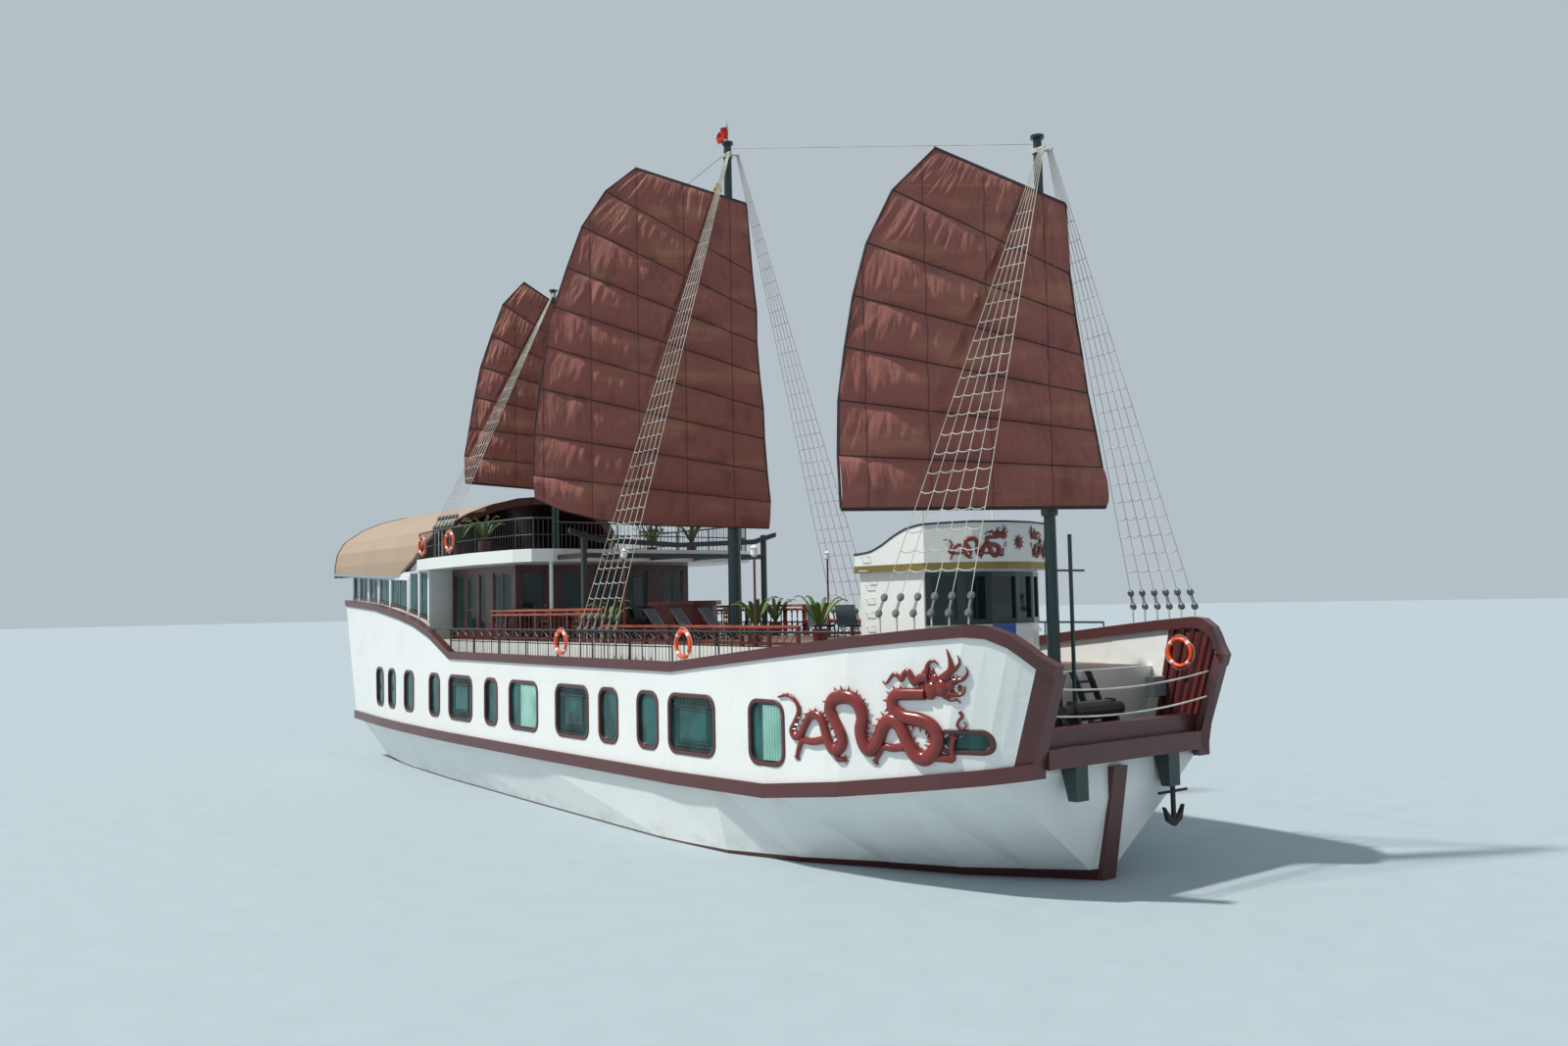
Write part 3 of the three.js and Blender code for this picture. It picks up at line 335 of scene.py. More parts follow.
def slab(name: str, outline: Sequence[Place2], axis: str, span: Place2,
         bevel: float = 0.0) -> Piece:
    """A flat outline pushed along one axis.

    Args:
        name: The piece's name.
        outline: Its corners, as (y, z) for x, (x, z) for y and (x, y) for z.
        axis: The axis that it is pushed along.
        span: From where to where.
        bevel: The width of its eased edges.

    Returns:
        The new piece.
    """
    order: dict[str, Laying] = {
        "x": lambda a, b, c: (c, a, b), "y": lambda a, b, c: (a, c, b), "z": lambda a, b, c: (a, b, c)}
    rest()
    bpy.ops.mesh.primitive_circle_add(vertices=len(outline), radius=1, fill_type="NGON")
    piece = named(name)
    for vertex, (a, b) in zip(piece.data.vertices, outline):
        vertex.co = order[axis](a, b, span[0])
    bpy.ops.object.mode_set(mode="EDIT")
    bpy.ops.mesh.select_all(action="SELECT")
    bpy.ops.mesh.extrude_region_move(TRANSFORM_OT_translate={"value": order[axis](0, 0, span[1] - span[0])})
    bpy.ops.mesh.select_all(action="SELECT")
    bpy.ops.mesh.normals_make_consistent(inside=False)
    rest()
    if bevel:
        modify(piece, "BEVEL", width=bevel, segments=2, limit_method="ANGLE")
    return piece


def joined(name: str, pieces: Iterable[Piece]) -> Piece:
    """Joins pieces into one.

    Args:
        name: The whole piece's name.
        pieces: The pieces to join.

    Returns:
        The joined piece.
    """
    parts = list(pieces)
    hold(parts[0])
    for part in parts:
        part.select_set(True)
    if len(parts) > 1:
        bpy.ops.object.join()
    parts[0].name = name
    parts[0].data.name = name
    return parts[0]


def copies(piece: Piece, places: Iterable[Matrix]) -> list[Piece]:
    """Copies a piece to several places, each with its own mesh, and removes the first.

    Args:
        piece: The piece to copy.
        places: Where the copies go.

    Returns:
        The copies.
    """
    made = []
    for place in places:
        twin = piece.copy()
        twin.data = piece.data.copy()
        twin.data.transform(place)
        if place.determinant() < 0:
            twin.data.flip_normals()
        bpy.context.collection.objects.link(twin)
        made.append(twin)
    hold(piece)
    bpy.ops.object.delete()
    return made


MIRROR = Matrix.Scale(-1, 4, (0, 1, 0))


# Finishes


def linear(hex_colour: str) -> Row:
    """Turns an sRGB hex colour to linear light.

    Args:
        hex_colour: The colour, such as "#5a2e2e".

    Returns:
        Red, green, blue and an alpha of one.
    """
    parts = [int(hex_colour[k:k + 2], 16) / 255 for k in (1, 3, 5)]
    red, green, blue = (c / 12.92 if c <= 0.04045 else ((c + 0.055) / 1.055) ** 2.4 for c in parts)
    return red, green, blue, 1.0


def add_node(tree: Tree, kind: str, settings: dict[str, object] | None = None,
             links: dict[str, Socket] | None = None, **props: object) -> bpy.types.Node:
    """Adds a shader node.

    Args:
        tree: The material's node tree.
        kind: The node's type, without "ShaderNode".
        settings: Input sockets' values, by name or number.
        links: Sockets to link to the node's inputs, by name or number.
        props: The node's own properties.

    Returns:
        The new node.
    """
    made = tree.nodes.new("ShaderNode" + kind)
    for key, value in props.items():
        setattr(made, key, value)
    for key, value in (settings or {}).items():
        made.inputs[key].default_value = value
    for key, socket in (links or {}).items():
        tree.links.new(socket, made.inputs[key])
    return made


def blend(tree: Tree, share: Socket, first: object, second: object,
          mode: str = "MIX") -> Socket:
    """Mixes two colours by a share.

    Args:
        tree: The material's node tree.
        share: The socket that gives the second colour's share.
        first: A colour or a socket.
        second: A colour or a socket.
        mode: How they are mixed.

    Returns:
        The socket of the mixed colour.
    """
    mix = add_node(tree, "Mix", data_type="RGBA", blend_type=mode)
    tree.links.new(share, mix.inputs[0])
    for index, colour in ((6, first), (7, second)):
        if isinstance(colour, Socket):
            tree.links.new(colour, mix.inputs[index])
        else:
            mix.inputs[index].default_value = colour
    return mix.outputs[2]


def ramp(tree: Tree, value: Socket, low: float, high: float,
         to: Place2 = (0.0, 1.0)) -> Socket:
    """Maps a value's range to another, with its ends held.

    Args:
        tree: The material's node tree.
        value: The socket to map.
        low: The value that gives the first end.
        high: The value that gives the second end.
        to: The two ends.

    Returns:
        The mapped socket.
    """
    return add_node(tree, "MapRange", {1: low, 2: high, 3: to[0], 4: to[1]}, {0: value}).outputs[0]


def reckon(tree: Tree, operation: str, links: dict[int, Socket],
           settings: dict[int, float] | None = None) -> Socket:
    """Adds a sum of sockets and numbers.

    Args:
        tree: The material's node tree.
        operation: The Math node's operation.
        links: Sockets to link, by input.
        settings: Numbers, by input.

    Returns:
        The sum's socket.
    """
    return add_node(tree, "Math", settings, links, operation=operation).outputs[0]


def speckle(tree: Tree, size: float, stretch: Point = (1, 1, 1), detail: float = 3.0,
            source: str = "Object") -> Socket:
    """Noise whose lumps have a real size.

    Args:
        tree: The material's node tree.
        size: The lumps' size in metres.
        stretch: How much longer the lumps are along each axis.
        detail: How many finer layers it has.
        source: The coordinates that it follows, "Object" or "UV".

    Returns:
        The noise's socket.
    """
    where = add_node(tree, "TexCoord").outputs[source]
    scale = [1 / (size * s) for s in stretch]
    scaled = add_node(tree, "Mapping", {"Scale": scale}, {"Vector": where}).outputs[0]
    return add_node(tree, "TexNoise", {"Scale": 1.0, "Detail": detail}, {"Vector": scaled}).outputs["Fac"]


@dataclass(frozen=True)
class Finish:
    """What every finish has: a name, its colours and how it shines."""

    name: str
    colour: str
    worn: str
    roughness: float = 0.5
    metallic: float = 0.0
    grain: float = 0.004
    bump: float = 0.15

    def surface(self, tree: Tree) -> Surface:
        """Gives the sockets of the finish's colour and height.

        Args:
            tree: The material's node tree.

        Returns:
            The colour and the height.
        """
        patches = ramp(tree, speckle(tree, 0.9), 0.35, 0.75)
        fine = speckle(tree, self.grain)
        shade = blend(tree, patches, linear(self.colour), linear(self.worn))
        return shade, fine

    def settle(self, shader: bpy.types.Node) -> None:
        """Sets the shader's own sockets beyond roughness and metal."""

    def make(self) -> bpy.types.Material:
        """Builds the material.

        Returns:
            The new material.
        """
        material = bpy.data.materials.new(self.name)
        material.use_nodes = True
        tree = material.node_tree
        shader = tree.nodes["Principled BSDF"]
        shader.inputs["Roughness"].default_value = self.roughness
        shader.inputs["Metallic"].default_value = self.metallic
        colour, height = self.surface(tree)
        tree.links.new(colour, shader.inputs["Base Color"])
        relief = add_node(tree, "Bump", {"Strength": self.bump, "Distance": self.grain}, {"Height": height})
        tree.links.new(relief.outputs[0], shader.inputs["Normal"])
        self.settle(shader)
        return material


@dataclass(frozen=True)
class Paint(Finish):
    """Brushed marine enamel: a gloss coat with dirt that has run down it."""

    streaks: float = 0.25
    line: float | None = None  # height of the bottom paint's edge amidships
    bottom: str = "#4a1d1f"

    def surface(self, tree: Tree) -> Surface:
        """Colour with run-down dirt, and the faint waves of hull plating and brush marks.

        Args:
            tree: The material's node tree.

        Returns:
            The colour and the height.
        """
        runs = ramp(tree, speckle(tree, 0.16, (1, 1, 9), 4), 0.52, 0.8, (0.0, self.streaks))
        patches = ramp(tree, speckle(tree, 1.6), 0.4, 0.8, (0.0, self.streaks * 1.2))
        dirt = reckon(tree, "MAXIMUM", {0: runs, 1: patches})
        shade = blend(tree, dirt, linear(self.colour), linear(self.worn))
        if self.line is not None:
            # antifouling shows just above the water, and a little more of it towards the stem
            parts = add_node(tree, "SeparateXYZ", {}, {0: add_node(tree, "TexCoord").outputs["Object"]})
            rise = ramp(tree, parts.outputs["X"], 9.0, 19.0, (0.0, 0.2))
            above = reckon(tree, "SUBTRACT", {0: parts.outputs["Z"], 1: rise})
            below = ramp(tree, above, self.line + 0.01, self.line - 0.01)
            splash = ramp(tree, above, self.line + 0.5, self.line, (0.0, 0.35))
            spots = ramp(tree, speckle(tree, 0.3, (2, 2, 1)), 0.4, 0.7)
            grime = reckon(tree, "MULTIPLY", {0: splash, 1: spots})
            shade = blend(tree, grime, shade, linear("#8c8f7c"))
            shade = blend(tree, below, shade, linear(self.bottom))
        return shade, speckle(tree, 0.35, (2, 2, 1), 2)

    def settle(self, shader: bpy.types.Node) -> None:
        """Gives the enamel its thin gloss coat."""
        shader.inputs["Coat Weight"].default_value = 0.25
        shader.inputs["Coat Roughness"].default_value = 0.2


@dataclass(frozen=True)
class Timber(Finish):
    """Sawn and varnished hardwood: long grain along one axis, darker in its pores."""

    along: Point = (12, 1, 1)

    def surface(self, tree: Tree) -> Surface:
        """Colour and height of the long grain.

        Args:
            tree: The material's node tree.

        Returns:
            The colour and the height.
        """
        lines = speckle(tree, 0.03, self.along, 6)
        broad = ramp(tree, speckle(tree, 0.5), 0.35, 0.7, (0.0, 0.5))
        shade = blend(tree, ramp(tree, lines, 0.35, 0.65), linear(self.colour), linear(self.worn))
        return blend(tree, broad, shade, linear(self.colour), "MULTIPLY"), lines

    def settle(self, shader: bpy.types.Node) -> None:
        """Gives the varnish its coat."""
        shader.inputs["Coat Weight"].default_value = 0.3
        shader.inputs["Coat Roughness"].default_value = 0.25


@dataclass(frozen=True)
class Planks(Timber):
    """A laid deck: planks 140 mm wide along the ship, with dark seams."""

    width: float = 0.14

    def surface(self, tree: Tree) -> Surface:
        """Grain, with the seams between the planks.

        Args:
            tree: The material's node tree.

        Returns:
            The colour and the height.
        """
        shade, lines = super().surface(tree)
        parts = add_node(tree, "SeparateXYZ", {}, {0: add_node(tree, "TexCoord").outputs["Object"]})
        saw = reckon(tree, "PINGPONG", {0: parts.outputs["Y"]}, {1: self.width})
        seam = ramp(tree, saw, 0.006, 0.002)
        return blend(tree, seam, shade, linear("#1d1612")), lines


@dataclass(frozen=True)
class Sailcloth(Finish):
    """Plain-woven canvas dyed with bark tan: seams between cloths, sun fading and painted shade in its
    creases.

    Its UV map holds metres across and up the sail, so the weave keeps its size.
    """

    seam: float = 0.7  # half the distance between two seams
    thread: float = 0.012  # far coarser than the real 1 mm, which would not show

    def surface(self, tree: Tree) -> Surface:
        """Colour with seams, fading and painted crease shade, and the height of weave and wrinkles.

        Args:
            tree: The material's node tree.

        Returns:
            The colour and the height.
        """
        uv = add_node(tree, "TexCoord").outputs["UV"]
        parts = add_node(tree, "SeparateXYZ", {}, {0: uv})
        saw = reckon(tree, "PINGPONG", {0: parts.outputs["X"]}, {1: self.seam})
        seam = ramp(tree, saw, 0.022, 0.012, (0.0, 0.55))
        fade = ramp(tree, speckle(tree, 1.5, (2.2, 0.55, 1), 4, "UV"), 0.52, 0.78, (0.0, 0.5))
        # painted shade: broad patches darkened towards #3d2120 stand in for the shade in the cloth's folds
        crease_shade = ramp(tree, speckle(tree, 0.7, (1, 1.8, 1), 5, "UV"), 0.55, 0.8, (0.0, 0.6))
        shade = blend(tree, fade, linear(self.colour), linear(self.worn))
        shade = blend(tree, crease_shade, shade, linear("#3d2120"))
        shade = blend(tree, seam, shade, linear("#2c1717"))
        rust = ramp(tree, speckle(tree, 0.5, (8, 0.25, 1), 3, "UV"), 0.66, 0.74, (0.0, 0.45))
        shade = blend(tree, rust, shade, linear("#a9763f"))
        creases = speckle(tree, 0.09, (0.8, 3.2, 1), 4, "UV")
        repeats = 1 / self.thread / 6  # a wave texture shows about six threads to a unit
        where = add_node(tree, "Mapping", {"Scale": (repeats, repeats, 1)}, {"Vector": uv}).outputs[0]
        weave = add_node(tree, "TexWave", {"Scale": 1.0, "Distortion": 0.4}, {"Vector": where})
        return shade, reckon(tree, "MULTIPLY_ADD", {0: weave.outputs["Fac"], 2: creases}, {1: 0.06})

    def settle(self, shader: bpy.types.Node) -> None:
        """Canvas has a soft sheen at grazing angles."""
        shader.inputs["Sheen Weight"].default_value = 0.25
        shader.inputs["Sheen Roughness"].default_value = 0.5


@dataclass(frozen=True)
class Glass(Finish):
    """Tinted float glass: dark, and as smooth as a mirror."""

    clear: float = 1.0

    def surface(self, tree: Tree) -> Surface:
        """Colour that deepens in broad patches, as a room behind the pane does."""
        depth = ramp(tree, speckle(tree, 0.6, (1, 1, 2)), 0.4, 0.65)
        return blend(tree, depth, linear(self.colour), linear(self.worn)), speckle(tree, 0.8, (1, 1, 1), 1)

    def settle(self, shader: bpy.types.Node) -> None:
        """Sets how much the pane lets through."""
        shader.inputs["Alpha"].default_value = self.clear
        shader.inputs["IOR"].default_value = 1.5


WHITE = Paint("White marine enamel", "#e3e6e3", "#b3b1a2", 0.38, bump=0.12, grain=0.02, streaks=0.16)
HULL = Paint("White hull enamel", "#e6e9e7", "#b9b8ab", 0.36, bump=0.3, grain=0.03, streaks=0.14, line=0.05)
BROWN = Paint("Brown trim enamel", "#54292a", "#3b2222", 0.42, bump=0.15, grain=0.01, streaks=0.35)
OXIDE = Paint("Red oxide enamel", "#5e2323", "#3b1b1b", 0.5, bump=0.15, grain=0.01, streaks=0.4)
MAST = Paint("Green-black mast enamel", "#10292a", "#1f3634", 0.32, bump=0.1, grain=0.01, streaks=0.3)
STEEL = Paint("Black rail enamel", "#1c1f20", "#38352f", 0.4, bump=0.1, grain=0.006, streaks=0.3)
RUSTY = Paint("Black iron with rust", "#1d1c1b", "#4a3526", 0.65, 0.4, 0.02, 0.4, streaks=0.6)
GREY = Paint("Grey panel enamel", "#8e9ba3", "#7b858a", 0.45, bump=0.08, grain=0.02, streaks=0.2)
ROOF = Paint("Tan roof membrane", "#a68f78", "#8f7a66", 0.8, bump=0.15, grain=0.03, streaks=0.3)
GOLD = Paint("Old gilding", "#8f7b3c", "#5f512b", 0.4, 0.4, 0.01, 0.2, streaks=0.5)
RELIEF = Paint(
    "Carved relief, red gloss lacquer", "#7e2a26", "#571b1a", 0.22, bump=0.2, grain=0.03, streaks=0.5)
BUOY = Paint("Orange buoy plastic", "#f0521f", "#d9481d", 0.4, bump=0.1, grain=0.02, streaks=0.3)
BAND = Paint("White reflective band", "#e9ebe8", "#c9c6bb", 0.35, bump=0.1, grain=0.01, streaks=0.2)
SIGN = Paint("Blue sign enamel", "#1558a8", "#124a8c", 0.35, bump=0.05, grain=0.01, streaks=0.1)
VARNISH = Timber("Red varnished hardwood", "#7a2c20", "#4a1915", 0.35, bump=0.2)
RAILWOOD = Timber("Orange varnished handrail", "#b4502a", "#7d3219", 0.3, bump=0.2)
UPRIGHT = Timber("Red varnished posts", "#6a2020", "#3f1414", 0.35, bump=0.2, along=(1, 1, 12))
SPAR = Timber("Dark batten bamboo", "#3a2422", "#21130f", 0.6, bump=0.3, along=(3, 3, 3))
DECK = Planks("Laid deck planks", "#8b6a4c", "#5f4733", 0.65, bump=0.2)
CANVAS = Sailcloth("Tanned sailcloth", "#8b5048", "#bb8c66", 0.85, bump=0.6, grain=0.05)
ROPE = Finish("Laid white rope", "#cfcdc4", "#a39f92", 0.85, grain=0.02, bump=0.5)
WIRE = Finish("Galvanised wire", "#aeb2b0", "#84898a", 0.5, 0.6, 0.01, 0.2)
RUBBER = Finish("Worn tyre rubber", "#1a1a1b", "#2c2a28", 0.85, grain=0.01, bump=0.3)
BRONZE = Finish("Worn bronze", "#8c6b3a", "#5e4a2a", 0.35, 0.95, 0.02, 0.1)
LEAF = Finish("Palm leaf", "#3e5a2e", "#6a7a3a", 0.6, grain=0.01, bump=0.2)
FABRIC = Finish("Grey lounger mesh", "#4b5257", "#3a4044", 0.9, grain=0.008, bump=0.4)
PANE = Glass("Teal window glass", "#1f5a58", "#0d2a2b", 0.06, bump=0.02)
DARK_PANE = Glass("Dark wheelhouse glass", "#0f2422", "#091413", 0.05, bump=0.02)
CLEAR_PANE = Glass("Green tinted door glass", "#1f4f4c", "#12302f", 0.05, bump=0.02, clear=0.62)
TEAK = Timber("Oiled teak furniture", "#a5713f", "#7c5230", 0.5, bump=0.15)
DEADEYE = Paint("Weathered grey blocks", "#5d6865", "#3c4442", 0.6, bump=0.2, grain=0.01, streaks=0.4)
FLAG = Finish("Plain red flag cloth", "#c8231f", "#9c1715", 0.8, grain=0.01, bump=0.2)
PENNANT = Finish("Plain yellow pennant cloth", "#d8b52a", "#b08f1f", 0.8, grain=0.01, bump=0.2)
CURTAIN = Finish("Pale curtain", "#9ccabd", "#6fa39a", 0.85, grain=0.03, bump=0.4)
FLOOR = Finish("Pale studio floor", "#a3b0b6", "#9facb2", 0.9, bump=0.0)


class Paints:
    """The materials, each built when it is first asked for."""

    def __init__(self) -> None:
        """Starts with no material."""
        self.made: dict[str, bpy.types.Material] = {}

    def get(self, finish: Finish) -> bpy.types.Material:
        """Gives a finish's material.

        Args:
            finish: The finish.

        Returns:
            Its material.
        """
        if finish.name not in self.made:
            self.made[finish.name] = finish.make()
        return self.made[finish.name]


@dataclass
class Shop:
    """Hands each piece its finish and its body."""

    frame: dict
    paints: Paints = field(default_factory=Paints)
    count: int = 0

    def paint(self, piece: Piece, finish: Finish) -> Piece:
        """Gives a piece one finish, and returns the piece.

        Args:
            piece: The piece.
            finish: The finish.

        Returns:
            The same piece.
        """
        piece.data.materials.clear()
        piece.data.materials.append(self.paints.get(finish))
        return piece

    def fit(self, piece: Piece, finish: Finish | None = None, body: str = "ship",
            nodes: Sequence[str] = ()) -> Piece:
        """Finishes a piece and joins it to its body.

        Args:
            piece: The piece.
            finish: Its finish, unless it has its own already.
            body: The body that carries it.
            nodes: The solids that it stands for.

        Returns:
            The same piece.
        """
        if finish:
            self.paint(piece, finish)
        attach(piece, body)
        if nodes:
            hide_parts(*nodes)
        self.count += 1
        log.info("%s: %d faces on %s", piece.name, len(piece.data.polygons), body)
        return piece

    def join(self, name: str, pieces: Iterable[Piece], slot: str, finish: Finish) -> Piece:
        """Joins pieces into one on the ship's body, and finishes it.

        Args:
            name: The whole piece's name.
            pieces: The pieces to join.
            slot: The record's material slot; not used.
            finish: Its finish.

        Returns:
            The joined piece.
        """
        return self.fit(joined(name, pieces), finish)

    def dress_node(self, name: str, finish: Finish) -> None:
        """Gives a solid of the model a finish in all of its slots.

        Args:
            name: The solid's node.
            finish: The finish.
        """
        for place in self.frame["nodes"][name].material_slots:
            place.material = self.paints.get(finish)


# The hull's lines, which the windows and carvings follow


@dataclass(frozen=True)
class Lines:
    """Half breadths of the upper hull: x, half breadth, forward lean and the height where it starts."""

    rows: tuple[Row, ...] = (
        (-17.25, 3.65, -0.28, 1.88), (-12.9, 4.2, -0.13, 1.88), (-10.0, 4.48, -0.04, 1.88),
        (-8.5, 4.57, 0, 1.88), (-6.8, 4.68, 0, 1.88), (-4.85, 4.76, 0, 1.88), (1.0, 4.85, 0, 1.88),
        (9.2, 4.85, 0, 1.88),
        (12.9, 4.74, 0.08, 1.92), (15.2, 4.48, 0.15, 2.16), (16.7, 4.13, 0.2, 2.36), (17.7, 3.85, 0.27, 2.5),
        (18.1, 3.66, 0.29, 2.555), (18.5, 3.45, 0.31, 2.61), (18.75, 3.285, 0.3225, 2.65),
        (19.0, 3.107, 0.335, 2.69), (19.33, 2.88, 0.348, 2.75))

    def half(self, x: float, z: float) -> float:
        """The hull's half breadth at a place on its side.

        Args:
            x: How far forward.
            z: How high.

        Returns:
            The half breadth.
        """
        places = [row[0] + row[2] * max(0.0, z - row[3]) for row in self.rows]
        return float(np.interp(x, places, [row[1] for row in self.rows]))

    def on_side(self, x: float, z: float, side: float, proud: float = 0.0) -> Point:
        """A point on the hull's side, or some way out from it."""
        return x, side * (self.half(x, z) + proud), z


LINES = Lines()


class Behind(Enum):
    """What shows behind a hull window."""

    GLASS = "glass"
    GRILLE = "grille"
    CURTAIN = "curtain"


@dataclass
class HullWindows:
    """Framed cabin windows along both sides of the hull, and the long port at each bow."""

    sill: float = 2.4
    head: float = 3.75
    rim: float = 0.085
    bow_port: Row = (18.25, 0.9, 2.98, 3.33)
    windows: tuple[tuple[float, float, Behind], ...] = (
        (-12.87, 0.89, Behind.GLASS), (-11.18, 0.84, Behind.GLASS), (-9.05, 0.94, Behind.GLASS),
        (-6.29, 0.89, Behind.GLASS), (-3.93, 1.82, Behind.GRILLE), (-1.46, 0.84, Behind.GLASS),
        (0.88, 1.82, Behind.CURTAIN), (3.96, 1.8, Behind.GRILLE), (6.03, 0.89, Behind.GLASS),
        (8.05, 0.89, Behind.GLASS), (10.04, 1.84, Behind.GRILLE), (12.98, 1.09, Behind.CURTAIN))

    @staticmethod
    def outline(x: float, width: float, low: float, high: float, corner: float) -> list[Place2]:
        """A rounded rectangle's points, as (x, z).

        Args:
            x: Its middle, along the ship.
            width: Its width.
            low: The height of its foot.
            high: The height of its top.
            corner: The corners' radius.

        Returns:
            The points, round the outline.
        """
        points = []
        for cx, cz, start in ((1, 1, 0), (-1, 1, 90), (-1, -1, 180), (1, -1, 270)):
            mid_x = x + cx * (width / 2 - corner)
            mid_z = (high - corner) if cz > 0 else (low + corner)
            for k in range(6):
                a = math.radians(start + 18 * k)
                points.append((mid_x + corner * math.cos(a), mid_z + corner * math.sin(a)))
        return points

    def frame_piece(self, side: float, x: float, width: float, low: float, high: float) -> Piece:
        """A moulded frame round one opening, proud of the hull by 30 mm.

        Args:
            side: -1 for starboard, 1 for port.
            x: Its middle, along the ship.
            width: Its width.
            low: The height of its foot.
            high: The height of its top.

        Returns:
            The frame.
        """
        corner = min(0.26, width * 0.38, (high - low) * 0.45)
        section = ((self.rim, -0.02), (self.rim, 0.02), (self.rim - 0.02, 0.034), (0.02, 0.034),
                   (-0.012, 0.018), (-0.012, -0.06))
        rows = []
        for grow, proud in section:
            loop = self.outline(x, width + 2 * grow, low - grow, high + grow, corner + grow * 0.8)
            rows.append([LINES.on_side(a, z, side, proud) for a, z in loop])
        return smooth(skin("window_frame", rows, around=True), 30)

    def pane(self, side: float, x: float, width: float, low: float, high: float) -> Piece:
        """A slightly domed pane at the back of the frame.

        Args:
            side: -1 for starboard, 1 for port.
            x: Its middle, along the ship.
            width: Its width.
            low: The height of its foot.
            high: The height of its top.

        Returns:
            The pane.
        """
        middle = (low + high) / 2
        rows = []
        for share, out in ((0.0, -0.055), (0.25, -0.05), (0.49, -0.048)):
            inward = (high - low) * share
            corner = min(0.2, (high - low) * 0.4) * (1 - 2 * share)
            loop = self.outline(x, width * (1 - 2 * share), low + inward, high - inward, corner)
            rows.append([LINES.on_side(a, z, side, out) for a, z in loop])
        rows.append([LINES.on_side(x, middle, side, -0.047)] * len(rows[0]))
        return smooth(skin("window_pane", rows, around=True), 30)

    def grille(self, side: float, x: float, width: float) -> list[Piece]:
        """Lattice bars with a plain field in the middle.

        Args:
            side: -1 for starboard, 1 for port.
            x: Its middle, along the ship.
            width: Its width.

        Returns:
            The bars.
        """
        left, right = x - width / 2 + 0.06, x + width / 2 - 0.06
        low, high = self.sill + 0.07, self.head - 0.07
        parts = []

        def rung(a: Place2, b: Place2, thick: float = 0.014) -> None:
            """Lays one bar between two (x, z) points."""
            parts.append(bar("rung", LINES.on_side(*a, side, 0.0), LINES.on_side(*b, side, 0.0), thick, 4))

        for inset_by in (0.0, 0.13, 0.2):
            box = [(left + inset_by, low + inset_by), (right - inset_by, low + inset_by),
                   (right - inset_by, high - inset_by), (left + inset_by, high - inset_by)]
            for a, b in zip(box, box[1:] + box[:1]):
                rung(a, b)
        count = round((right - left) / 0.14)
        for k in range(1, count):
            a = left + (right - left) * k / count
            rung((a, low), (a, low + 0.13), 0.009)
            rung((a, high), (a, high - 0.13), 0.009)
        return parts

    def curtain(self, side: float, x: float, width: float) -> Piece:
        """A gathered curtain drawn over half of the window.

        Args:
            side: -1 for starboard, 1 for port.
            x: Its middle, along the ship.
            width: Its width.

        Returns:
            The curtain.
        """
        rows = []
        for z in np.linspace(self.sill + 0.05, self.head - 0.05, 5):
            row = []
            for k in range(49):
                a = x - width * 0.12 + (width * 0.56) * k / 48
                row.append(LINES.on_side(a, z, side, -0.03 + 0.012 * math.sin(k * 0.9)))
            rows.append(row)
        return smooth(skin("curtain", rows), 60)

    def build(self, shop: Shop) -> None:
        """Builds the windows of both sides.

        Args:
            shop: The shop that finishes the pieces.
        """
        for name, side in SIDES.items():
            frames, panes, bars, drapes = [], [], [], []
            for x, width, behind in self.windows:
                frames.append(self.frame_piece(side, x, width, self.sill, self.head))
                panes.append(self.pane(side, x, width, self.sill, self.head))
                if behind is Behind.GRILLE:
                    bars += self.grille(side, x, width)
                if behind is Behind.CURTAIN:
                    drapes.append(self.curtain(side, x, width))
            frames.append(self.frame_piece(side, *self.bow_port))
            panes.append(self.pane(side, *self.bow_port))
            shop.join(f"window_frames_{name}", frames, "brown_timber", BROWN)
            shop.join(f"window_panes_{name}", panes, "black_steel", PANE)
            shop.join(f"window_grilles_{name}", bars, "brown_timber", STEEL)
            shop.join(f"window_curtains_{name}", drapes, "sailcloth", CURTAIN)


# Sails and rigging


@dataclass(frozen=True)
class Rig:
    """One mast's numbers: its place, the sail's rows and where the shrouds run."""

    name: str
    x: float
    back: float  # the cloth's plane from the mast's axis
    rows: tuple[Row, ...]
    eye: Point
    feet: tuple[Point, ...]
    loose_foot: tuple[Place2, ...] = ()


def cap_middle(x: float, z: float) -> float:
    """Half breadth of the cap rail's middle at a height."""
    return LINES.half(x, z) - 0.075


